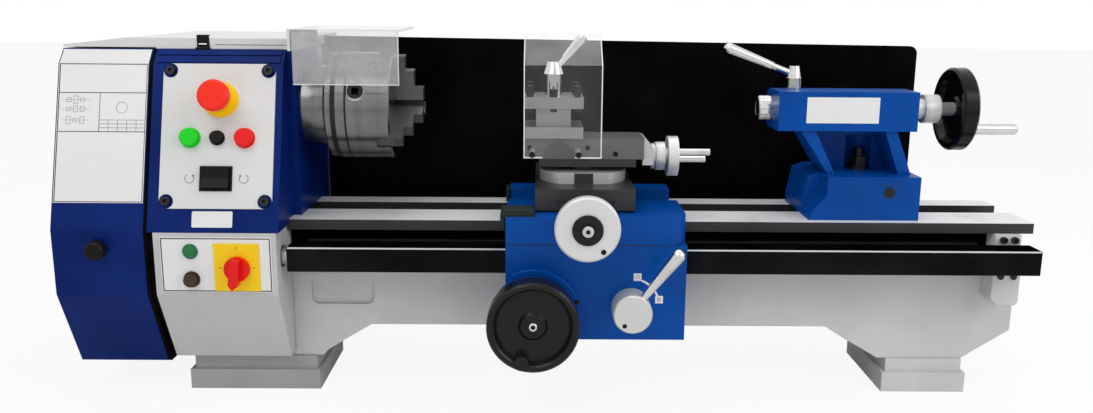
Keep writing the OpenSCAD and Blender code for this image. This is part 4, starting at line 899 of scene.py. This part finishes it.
@dataclass
class Headstock(Assembly):
    """Headstock casting, lid, control panel and electrical box."""

    left: float = -495.0
    right: float = -341.0
    lid_edge: Point2 = (-45.0, 402.0)
    estop: Point2 = (-418.0, 41.0)
    start_x: float = -450.0
    stop_x: float = -389.5
    buttons_s: float = 84.0
    panel_x: float = -420.0
    panel_t: float = 2.0
    box_front: float = -115.0
    lower_z: float = 168.5
    knob: Point2 = (-396.0, 165.0)
    lamp: Point2 = (-448.0, 184.0)
    fuse: Point2 = (-448.0, 152.0)

    def dress(self) -> None:
        """Finishes of the castings, panels and controls."""
        middle, edge = Vector(on_slope(*self.estop, 6)), Vector((0, *SLOPE_TOP))
        ring: Test = lambda p, n: (
            (middle - p).length < 21.5 and (p - edge).dot(Vector(OFF_SLOPE)) > self.panel_t + 0.2
        )
        dress("control_panel", PALE_ENAMEL, (RING_YELLOW, ring))
        lamp: Test = lambda p, n: p.y < -100 and 174 < p.z < 200
        fuse: Test = lambda p, n: p.y < -100 and p.z < 170
        dress("lamp_and_fuses", SWITCH_BLACK, (LAMP_GREEN, lamp), (FUSE_BROWN, fuse))
        sheet: Test = lambda p, n: p.y < self.box_front - 0.2
        plate: Test = lambda p, n: (
            p.y < self.box_front - 1.6 and -425 < p.x < -371 and 138 < p.z < 194
        )
        dress("electrical_box", BOX_GREY, (STICKER, sheet), (RING_YELLOW, plate))
        dress_plain(
            headstock=NAVY, headstock_lid=PALE_ENAMEL, gear_backplate=BLACK_ENAMEL, control_box=NAVY,
            gear_quadrant=CAST_IRON, motor=BLACK_ENAMEL, drive_belt=BELT_RUBBER,
            cable_gland=SWITCH_BLACK, estop_button=MUSHROOM_RED, start_button=START_GREEN,
            stop_button=STOP_RED, direction_switch=SWITCH_BLACK, main_switch_knob=STOP_RED,
        )

    def build(self) -> None:
        """Adds the moulding, lid clip and seam, the printed arcs, plates and borders."""
        moulding = Shape()
        for low, high in ((1.2, 9.6), (11.0, 20.6)):
            outline = rectangle(self.left + 3, self.right - 12, -high, -low)
            moulding.plate(outline, (0, *self.lid_edge), 1.3, v=(0, 15, 16))
        moulding.hang("chamfer_moulding", NAVY, "frame", "blue_paint", edge=0.6)
        self.lid_fittings()
        self.panel_print()
        self.lower_panel()

    def lid_fittings(self) -> None:
        """The lid's seam and its clip over the joint."""
        y = self.lid_edge[0]
        seam = Shape().bar((-430, y - 0.25, 406.4), (self.right - 2, y + 0.3, 407.2))
        seam.hang("lid_seam", FAINT_INK, "frame", "pale_paint")
        clip = Shape()
        clip.bar((-450, y - 1.4, 401.0), (-436, y + 0.2, 417.0))
        clip.bar((-450, y - 1.4, 416.4), (-436, y + 4.0, 417.8))
        clip.bar((-451.5, y - 3.0, 400.6), (-434.5, y - 1.2, 403.8))
        clip.hang("lid_clip", SWITCH_BLACK, "frame", "black_plastic", edge=0.5)
        pin = Shape().revolve([(0, 0), (0.9, 0), (0.9, 9), (0, 9)], (-447.5, y - 1.6, 407.4), RIGHT, 16)
        pin.hang("lid_clip_pin", CHROME, "frame", "chrome", edge=0.2)

    def panel_print(self) -> None:
        """Arcs with arrow heads beside the rocker, the bare label and the buttons' bezels."""
        for name, x, start, end in (("left", -449.4, 120, 390), ("right", -389.4, 60, -210)):
            at = on_slope(x, 129.5, self.panel_t)
            cos, sin = math.cos(math.radians(end)), math.sin(math.radians(end))
            head = ((3.3, 0.0), (6.7, 0.0), (5.0, math.copysign(2.6, end - start)))
            arrow = Shape().plate(arc_band(5.0, 0.75, start, end), at, 0.12, v=UP_SLOPE)
            tip = [(a * cos - b * sin, a * sin + b * cos) for a, b in head]
            arrow.plate(tip, at, 0.12, v=UP_SLOPE)
            arrow.hang(f"turn_arc_{name}", FAINT_INK, "frame", "pale_paint")
        outline = [
            (-21.4, -9), (21.4, -9), (22.4, -8), (22.4, 8), (21.4, 9), (-21.4, 9), (-22.4, 8), (-22.4, -8),
        ]
        label = Shape().plate(outline, on_slope(-423.4, 174.6), 0.25, v=UP_SLOPE)
        label.hang("bare_label", STICKER, "frame", "pale_paint")
        for name, finish, x, slot in (
            ("start", START_GREEN, self.start_x, "green_plastic"),
            ("stop", STOP_RED, self.stop_x, "red_plastic"),
        ):
            at = on_slope(x, self.buttons_s, self.panel_t)
            bezel = low_ring(8.4, 11.4, 1.6, 10.6, 2.2)
            turned(f"{name}_bezel", finish, bezel, at, slot=slot, axis=OFF_SLOPE, steps=48)

    def lower_panel(self) -> None:
        """Rings of lamp and fuse, border of the lower panel and marks round the switch."""
        y = self.box_front - 1.5
        for name, finish, (x, z), r in (
            ("lamp", LAMP_GREEN, self.lamp, 7.6), ("fuse", SWITCH_BLACK, self.fuse, 8.2),
        ):
            profile = low_ring(r - 1.2, r + 1.0, 1.0, r + 0.2, 1.8)
            turned(f"{name}_ring", finish, profile, (x, y, z), steps=48)
        border = Shape()
        for outline in frame_strips(121.0, 61.0, 1.1):
            border.plate(outline, (self.panel_x, y, self.lower_z), 0.15)
        border.hang("lower_border", INK, "frame", "pale_paint")
        marks = Shape()
        for dx, dz, w, h in ((-19.5, 1.0, 1.3, 0.35), (18.0, 1.0, 1.3, 0.35), (-1.0, 23.5, 0.35, 1.3)):
            at = (self.knob[0] + dx, y - 2.0, self.knob[1] + dz)
            marks.plate(rectangle(-w, w, -h, h), at, 0.15)
        marks.hang("switch_marks", INK, "frame", "black_plastic")


@dataclass
class GearCover(Assembly):
    """Hinged cover over the change gears, with its ruled white plate."""

    left: float = -601.0
    right: float = -499.3
    plate_top: Point2 = (-46.2, 400.7)
    plate_s: float = 157.0
    sheet: float = 0.3

    def dress(self) -> None:
        """Finishes of the cover and of the train behind it."""
        dress_plain(
            gear_cover=NAVY, cover_knob=SWITCH_BLACK, spindle_gear=GEAR_IRON, idler_gear=GEAR_IRON,
            motor_pulley=ALUMINIUM, spindle_pulley=ALUMINIUM,
        )

    def ink(self, shape: Shape, outline: Sequence[Point2], x: float, s: float) -> None:
        """Prints an outline on the plate, its origin s down the slope."""
        shape.plate(outline, on_slope(x, s, self.sheet), 0.12, v=UP_SLOPE)

    def build(self) -> None:
        """Adds the plate that follows the cover's front, its ruled lines and its sketch."""
        (y, z), (edge_y, edge_z) = self.plate_top, SLOPE_TOP
        section = [
            (y, z), SLOPE_TOP, on_slope(0, self.plate_s)[1:], on_slope(0, self.plate_s, self.sheet)[1:],
            (edge_y - self.sheet, edge_z + 0.05), (y - 0.22, z + 0.21),
        ]
        plate = Shape().plate(section, (self.left + 1.2, 0, 0), self.right - self.left - 2.4, BACK)
        plate.hang("data_plate", STICKER, "gear_cover", "pale_paint")
        left, right = self.left + 2.0, self.right - 2.0
        middle, foot = left + 46.0, self.plate_s - 0.8
        step = (right - middle) / 5
        rules = [
            (left, right, 0.4, 1.3), (left, right, 33.0, 33.8), (left, right, 77.0, 77.8),
            (left, right, foot - 0.8, foot), (left, left + 1.0, 0.4, foot),
            (right - 0.7, right, 0.4, foot), (middle, middle + 0.6, 33.0, 77.0),
        ]
        rules += [(middle, right, s, s + 0.4) for s in (64.0, 68.4, 72.8)]
        rules += [(middle + step * i, middle + step * i + 0.35, 64.0, 77.0) for i in range(1, 5)]
        lines = Shape()
        for x0, x1, s0, s1 in rules:
            self.ink(lines, rectangle(x0, x1, 0.0, s1 - s0), 0.0, s1)
        lines.hang("plate_rules", INK, "gear_cover", "pale_paint")
        sketch = Shape()
        for start in (0, 180):
            self.ink(sketch, arc_band(6.2, 0.45, start, start + 180), middle + 25, 50.0)
        for s, heights in ((41.5, (5, 9, 4)), (52.0, (4, 7, 6)), (64.5, (9, 4, 8))):
            for i, height in enumerate(heights):
                for outline in frame_strips(5.0, height, 0.4):
                    self.ink(sketch, outline, left + 12 + 7.5 * i, s)
            self.ink(sketch, rectangle(4, 36, -0.12, 0.12), left, s)
        sketch.hang("gear_sketch", FAINT_INK, "gear_cover", "pale_paint")


@dataclass
class Chuck(Assembly):
    """Spindle, back plate and three-jaw chuck; a groove is its place, width and radius."""

    grooves: tuple[Point3, ...] = ((-300.0, 5.5, 61.5), (-284.0, 2.2, 62.5))

    def dress(self) -> None:
        """Finishes of the turned parts and the jaws."""
        dress_plain(
            spindle=CHUCK_STEEL, chuck_backplate=CHUCK_STEEL, chuck_body=CHUCK_STEEL,
            chuck_scroll=GEAR_IRON, chuck_pinion=DARK_STEEL, chuck_jaw_1=JAW_STEEL,
            chuck_jaw_2=JAW_STEEL, chuck_jaw_3=JAW_STEEL,
        )

    def build(self) -> None:
        """Adds dark rings of painted shade in the grooves turned in the chuck and its back plate."""
        shape = Shape()
        # Each ring is painted shade at the bottom of a groove.
        for x, width, radius in self.grooves:
            for start in (0, 180):
                outline = arc_band(radius, 0.3, start, start + 180, 90)
                shape.plate(outline, (x, 0, SPINDLE_Z), width, BACK)
        shape.hang("chuck_groove_shade", DARK_STEEL, "spindle", "dark_steel")


@dataclass
class Carriage(Assembly):
    """Saddle, apron, their wheels and lever, and the cross slide."""

    left: float = -99.0
    front: float = -125.0
    seam_z: float = 196.0
    deck_z: float = 227.0
    wiper_z: float = 211.5
    wheel: Point3 = (-68.0, -171.0, 117.0)
    cross: Point3 = (-11.0, -170.0, 223.0)
    hub: Point3 = (40.0, -157.0, 126.0)
    lever_places: tuple[Point2, ...] = ((47.1, 159.8), (71.6, 134.0))

    def dress(self) -> None:
        """Finishes of the carriage's castings, wheels and slides."""
        inside: Test = lambda p, n: -98 < p.y < 76 and -45 < p.x < 23 and p.z > self.deck_z - 0.5
        dress("saddle", ROYAL, (SLIDE_IRON, inside))
        dress("apron_handwheel", WHEEL_BLACK, (BRIGHT_STEEL, lambda p, n: p.y > -134.5))
        face = self.cross[1]
        pocket: Test = lambda p, n: p.y < face - 0.4 and 5.6 < off_axis(p, self.cross) < 17
        nut: Test = lambda p, n: p.y < face - 2.2 and off_axis(p, self.cross) < 5.7
        dress("cross_handwheel", SATIN_Y, (WHEEL_BLACK, pocket), (BRIGHT_STEEL, nut))
        dress("half_nut_lever", SATIN_HUB, (CHROME, lambda p, n: off_axis(p, self.hub) > 21.8))
        dress_plain(apron=ROYAL, half_nut=BRASS, rack_pinion=GEAR_IRON, cross_slide=SLIDE_IRON)

    def build(self) -> None:
        """Adds the seam, the wipers (the front one greenish black as painted shade of the saddle's left
        wing), position marks, wheel screws and dials.
        """
        left, y, z, foot = self.left, self.front, self.deck_z, self.wiper_z
        seam = Shape().bar((left, y - 0.2, self.seam_z - 0.5), (79, y + 0.3, self.seam_z + 0.3))
        seam.hang("apron_seam", INK, "carriage", "blue_paint")
        # The front wiper block over the saddle's left wing is partly a rubber wiper and partly painted
        # shade of the wing, hence its greenish black.
        wiper = Shape().bar((left - 3, y + 1, z - 1.5), (left + 31.4, y + 26, z + 8.0))
        wiper.bar((left - 6, y + 3, foot), (left - 0.2, y + 55, z + 3.0))
        wiper.hang("way_wiper", WIPER_RUBBER_SHADE, "carriage", "rubber", edge=1.4)
        wiper = Shape().bar((left - 5, 36, foot), (left - 0.2, 64, z + 1.0))
        wiper.hang("way_wiper_back", WIPER_RUBBER_SHADE, "carriage", "rubber", edge=1.2)
        x, _, z = self.wheel
        rim = Shape().plate(arc_band(49.5, 7.0, -50, 118), (x, y, z), 9.0)
        rim.hang("wheel_boss_rim", ROYAL, "carriage", "blue_paint", edge=1.0)
        at = (x + 48.3, y - 9.0, z + 16.5)
        turned("wheel_boss_screw", GLOSS_BLACK, low_ring(0, 2.6, 0.3, 2.0, 0.5), at, "carriage")
        self.position_marks()
        self.wheel_fittings()
        self.cross_fittings()
        self.keys()

    def position_marks(self) -> None:
        """White squares and the arc between them, at the two places of the half-nut lever."""
        y = self.front
        marks, signs = Shape(), Shape()
        for x, z in self.lever_places:
            marks.plate(rectangle(-4.3, 4.3, -4.3, 4.3), (x, y, z), 0.2)
            signs.plate(arc_band(1.9, 0.6, -60, 240), (x, y - 0.2, z), 0.1)
        marks.plate(arc_band(32.0, 2.2, 22, 69), (self.hub[0], y, self.hub[2]), 0.2)
        marks.hang("position_marks", STICKER, "carriage", "pale_paint")
        x, z = self.lever_places[-1]
        signs.plate(rectangle(-0.3, 0.3, -3.0, 3.0), (x, y - 0.2, z), 0.1)
        signs.hang("position_signs", FAINT_INK, "carriage", "pale_paint")

    def wheel_fittings(self) -> None:
        """Screw, washer and crank socket of the apron's wheel."""
        body = "apron_handwheel"
        x, face, z = self.wheel
        screw = socket_screw(Shape(), (x, face + 0.2, z), FRONT, 4.6, 2.6, 2.5)
        screw.hang("wheel_screw", CHROME, body, "chrome")
        washer = low_ring(4.8, 8.6, 0.7, 8.1, 1.1)
        turned("wheel_washer", WHEEL_BLACK, washer, self.wheel, body, steps=40)
        socket = [(0, 0), (3.4, 0), (3.4, 0.5), (2.5, 0.8), (2.3, 0.2), (0, 0.2)]
        at = (x - 12.5, face - 7.2, z - 39)
        turned("crank_socket", GLOSS_BLACK, socket, at, body, steps=24)

    def cross_fittings(self) -> None:
        """Screw, black ring, a black disc of painted shade in the crank hole, and dial lines of the cross
        slide's wheel.
        """
        body = "cross_handwheel"
        x, face, z = self.cross
        screw = socket_screw(Shape(), (x, face - 6.5, z), FRONT, 6.0, 2.2, 2.4)
        screw.hang("cross_wheel_screw", BRIGHT_STEEL, body, "satin_steel")
        ring = [(7.6, 0), (15.6, 0), (15.6, 0.5), (15.0, 0.9), (8.2, 0.9), (7.6, 0.5)]
        turned("cross_wheel_ring", WHEEL_BLACK, ring, (x, face - 2.0, z), body, steps=56)
        # The crank hole is a black disc: painted shade of the hole's inside.
        hole = low_ring(0, 2.9, 0.25, 2.2, 0.4)
        turned("cross_crank_hole_shade", GLOSS_BLACK, hole, (x + 17.0, face, z - 23.5), body)
        graduations("cross_dial_lines", (x, -142.0, z), BACK, 17.0, 4.5, body)

    def keys(self) -> None:
        """Black hexagons of painted shade in the sockets of both wheels' screws, and the screw of the
        lever's hub.
        """
        for body, (x, face, z), out in (
            ("cross_handwheel", self.cross, 8.2), ("apron_handwheel", self.wheel, 2.2),
        ):
            # Each black hexagon is painted shade in a screw's hex socket.
            key = Shape().plate(arc(2.3, 0, 300, 5), (x, face - out, z), 0.4)
            key.hang(f"{body}_key", GLOSS_BLACK, body, "black_plastic")
        x, face, z = self.hub
        at = (x - 8.7, face, z - 12.4)
        screw = low_ring(0, 2.5, 0.25, 1.9, 0.4)
        turned("lever_hub_screw", GLOSS_BLACK, screw, at, "half_nut_lever", "chrome")


@dataclass
class TopSlide(Assembly):
    """Compound slide, tool post and clear shield."""

    swivel_x: float = -11.5
    swivel_z: float = 253.0
    flat_front: float = -66.0
    slide_front: float = -54.5
    post_x: float = -46.5
    post_z: float = 304.0
    shield_y: float = -84.5
    bend: float = 34.5
    dial: Point3 = (74.0, -25.0, 280.0)
    gib_places: tuple[Point2, ...] = ((-74.0, 293.1), (-7.0, 293.1), (25.0, 286.1))

    def dress(self) -> None:
        """Finishes of the slides, post, screws, lever and shield."""
        plate: Test = lambda p, n: -0.5 < p.z - self.swivel_z < 13.2
        dress("compound_base", SLIDE_IRON, (PLATE_STEEL, plate))
        bright: Test = lambda p, n: p.z > self.post_z + 0.5 or p.y < self.slide_front - 0.7
        dress("compound_slide", TOP_IRON, (PLATE_STEEL, lambda p, n: p.x > 57.5), (BRIGHT_STEEL, bright))
        dress("compound_handwheel", SATIN_X, (CHROME, lambda p, n: p.x > 99.5))
        dress_plain(tool_post=POST_STEEL, tool_screws=DARK_STEEL, tool_post_lever=CHROME)
        clear = clear_sheet("tool_shield", "shield_sheet", (246, 247, 248), 0.06, 0.03)
        hazy = clear_sheet("tool_shield", "shield_bend", (242, 243, 244), 0.15, 0.14)
        dress("tool_shield", clear, (hazy, lambda p, n: p.z > hazy.high[2] - self.bend))

    def build(self) -> None:
        """Adds the swivel's scale, gib screws, shield screws and dial lines."""
        x, y, z = self.swivel_x, self.flat_front, self.swivel_z
        scale = Shape().bar((x - 10.8, y - 0.7, z + 0.4), (x + 10.8, y + 0.2, z + 12.4))
        scale.hang("swivel_scale", SLIDE_IRON, "swivel", "ground_iron", edge=0.3)
        lines = Shape()
        for i in range(-5, 6):
            outline = rectangle(-0.15, 0.15, 0.0, 3.5 if i % 5 else 5.5)
            lines.plate(outline, (x + 1.8 * i, y - 0.7, z + 6.4), 0.12)
        lines.hang("swivel_scale_lines", INK, "swivel", "ground_iron")
        gibs = Shape()
        for x, z in self.gib_places:
            socket_screw(gibs, (x, self.slide_front + 3.0, z), FRONT, 2.7, 2.6, 1.4)
        gibs.hang("gib_screws", DARK_STEEL, "compound_slide", "dark_steel")
        heads = Shape()
        for x in (self.post_x - 24.0, self.post_x + 28.0):
            socket_screw(heads, (x, self.shield_y - 3.0, self.post_z - 14.0), FRONT, 3.4, 2.2, 1.6)
        heads.hang("shield_screws", DARK_STEEL, "compound_slide", "dark_steel")
        graduations("compound_dial_lines", self.dial, RIGHT, 16.8, 4.5, "compound_handwheel")


@dataclass
class Tailstock(Assembly):
    """Tailstock body on its base, quill, handwheel and lock."""

    barrel_front: float = -40.0
    dial_x: float = 394.7
    wheel_x: float = 435.4
    set_over: Point3 = (344.0, -55.0, 243.0)
    bolt: Point2 = (326.0, 10.0)

    def dress(self) -> None:
        """Finishes of the tailstock's parts."""
        clamp: Test = lambda p, n: (
            math.hypot(p.x - self.bolt[0], p.y - self.bolt[1]) < 14.2 and p.z > 261.2
            or p.z < 209 or off_axis(p, self.set_over) < 5.6 and p.y < -48
        )
        dress("tailstock_base", ROYAL, (DARK_STEEL, clamp))
        dial: Test = lambda p, n: p.x < 412.5 and math.hypot(p.y, p.z - SPINDLE_Z) > 5
        shaft: Test = lambda p, n: p.x < 425 and math.hypot(p.y, p.z - SPINDLE_Z) < 8.2
        dress("tailstock_handwheel", GLOSS_BLACK, (SATIN_X, dial), (BRIGHT_STEEL, shaft))
        dress_plain(tailstock_body=ROYAL, quill=CHROME, wheel_handle=CHROME, quill_lock_lever=CHROME)

    def build(self) -> None:
        """Adds the bare plate, scribed lines, dial lines and the wheel's centre screw."""
        plate = Shape().plate(rectangle(0, 84, 0, 30), (246.3, self.barrel_front, 321.6), 0.3)
        plate.hang("bare_plate", STICKER, "tailstock", "pale_paint")
        lines = Shape()
        for outline, z in (
            (rectangle(0, 27, 0, 0.5), 252.6), (rectangle(27, 27.5, -8, 0.5), 252.6),
            (rectangle(-36, -14, 0, 0.4), 243.6),
        ):
            lines.plate(outline, (333.0, self.set_over[1], z), 0.1)
        lines.hang("scribed_lines", INK, "tailstock", "blue_paint")
        rim = [(5.9, -0.4), (6.6, -0.4), (6.6, 0.3), (6.2, 0.5), (5.9, 0.2)]
        turned("set_over_rim", DARK_STEEL, rim, self.set_over, "tailstock", "dark_steel", steps=36)
        body = "tailstock_handwheel"
        graduations("tail_dial_lines", (self.dial_x, 0.0, SPINDLE_Z), RIGHT, 17.0, 5.0, body)
        screw = socket_screw(Shape(), (self.wheel_x, 0.0, SPINDLE_Z), RIGHT, 5.0, 3.0, 2.5)
        screw.hang("tail_wheel_screw", CHROME, body, "chrome")


@dataclass
class ChuckGuard(Assembly):
    """Clear guard over the chuck on its folded arm."""

    arm_right: float = -336.2
    screw_x: float = -331.0
    screw_ys: Point3 = (-62.0, -8.0, 38.0)

    def dress(self) -> None:
        """Hazy sheet and pale arm."""
        clear = clear_sheet("chuck_guard", "guard_sheet", (226, 228, 230), 0.12, 0.3)
        dress("chuck_guard", clear, (PALE_ENAMEL, lambda p, n: p.x < self.arm_right))

    def build(self) -> None:
        """Adds the screws that hold the sheet to its arm."""
        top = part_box("chuck_guard")[1].z / MM - 1.7
        screws = Shape()
        for y in self.screw_ys:
            head = [(0, 0), (3.6, 0), (3.4, 0.9), (2.2, 1.5), (0, 1.6)]
            screws.revolve(head, (self.screw_x, y, top), UP, 28)
        screws.hang("guard_screws", DARK_STEEL, "chuck_guard", "dark_steel")


@dataclass
class Daylight:
    """Pale floor, soft lamps, white surroundings and the camera; a lamp has a name, place,
    target, width and power."""

    eye: Point3 = (-61.0, -1169.0, 459.0)
    down: float = 11.9
    across: float = 0.37
    roll: float = 0.43
    sensor: float = 36.0
    focal: float = 32.28
    floor_half: float = 9.0
    floor_z: float = -0.0002
    lamps: tuple[tuple[str, Point3, Point3, float, float], ...] = (
        ("key", (-0.9, -1.6, 2.2), (0.0, 0.0, 0.2), 1.6, 19.5),
        ("fill", (1.8, -1.2, 1.3), (0.2, 0.0, 0.15), 1.4, 17.0),
        ("top", (0.0, 0.4, 2.4), (0.0, 0.0, 0.2), 2.2, 15.0),
    )
    ambient: float = 0.42
    floor_glow: float = 0.9

    def camera(self) -> None:
        """Sets the camera that took the photograph."""
        data = bpy.data.cameras.new("photo_camera")
        data.sensor_width = self.sensor
        data.lens = self.focal
        data.clip_end = 100.0
        turn = Matrix.Rotation(math.radians(-self.across), 4, "Z")
        turn = turn @ Matrix.Rotation(math.radians(90 - self.down), 4, "X")
        turn = turn @ Matrix.Rotation(math.radians(self.roll), 4, "Z")
        eye = bpy.data.objects.new("photo_camera", data)
        eye.matrix_world = Matrix.Translation(Vector(self.eye) * MM) @ turn
        bpy.context.scene.collection.objects.link(eye)
        bpy.context.scene.camera = eye

    def floor(self) -> None:
        """A pale bench top that keeps the shadow and runs on out of sight."""
        half = self.floor_half
        corners = [(x, y, self.floor_z) for x, y in rectangle(-half, half, -half, half)]
        mesh = bpy.data.meshes.new("floor")
        mesh.from_pydata(corners, [], [(0, 1, 2, 3)])
        sheet = ShaderSheet("floor_paper")
        pale = sheet.blend(sheet.noise(300.0, 2.0), (0.93, 0.93, 0.93), (0.95, 0.95, 0.95))
        sheet.feed(Base_Color=pale, Roughness=0.9, Specular_IOR_Level=0.1)
        seen = sheet.node("ShaderNodeLightPath", output="Is Camera Ray") * self.floor_glow
        glow = sheet.node("ShaderNodeEmission", None, {"Strength": 1.0}, "Emission")
        paper = Signal(sheet, sheet.surface.outputs[0])
        mixed = sheet.node("ShaderNodeMixShader", None, {0: seen, 1: paper, 2: glow})
        sheet.plug(sheet.tree.nodes["Material Output"].inputs["Surface"], mixed)
        mesh.materials.append(sheet.material)
        ground = bpy.data.objects.new("floor", mesh)
        bpy.context.scene.collection.objects.link(ground)

    def light(self) -> None:
        """Three soft lamps and a white world that lights the lathe less than it shows."""
        for name, place, target, size, power in self.lamps:
            data = bpy.data.lights.new(f"lamp_{name}", "AREA")
            data.shape = "SQUARE"
            data.size = size
            data.energy = power
            lamp = bpy.data.objects.new(f"lamp_{name}", data)
            lamp.location = place
            aim = Vector(target) - Vector(place)
            lamp.rotation_euler = aim.to_track_quat("-Z", "Y").to_euler()
            bpy.context.scene.collection.objects.link(lamp)
        world = bpy.data.worlds.new("studio")
        bpy.context.scene.world = world
        world.use_nodes = True
        sheet = NodeSheet(world.node_tree)
        camera, through, glossy = (
            sheet.node("ShaderNodeLightPath", output=f"Is {ray} Ray")
            for ray in ("Camera", "Transmission", "Glossy")
        )
        sockets = {"Value": camera + through + glossy, "To Min": self.ambient, "To Max": 1.0}
        back = sheet.tree.nodes["Background"]
        sheet.plug(back.inputs["Color"], (1.0, 1.0, 1.0))
        sheet.plug(back.inputs["Strength"], sheet.node("ShaderNodeMapRange", None, sockets))

    def build(self) -> None:
        """Everything around the lathe."""
        self.camera()
        self.floor()
        self.light()
        bpy.context.scene.view_settings.view_transform = "Standard"


def main() -> None:
    """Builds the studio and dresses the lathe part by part."""
    logging.basicConfig(level=logging.INFO)
    Daylight().build()
    parts = (Bed, Headstock, GearCover, Chuck, Carriage, TopSlide, Tailstock, ChuckGuard)
    for part in (kind() for kind in parts):
        part.dress()
        part.build()


if __name__ == "__main__":
    main()
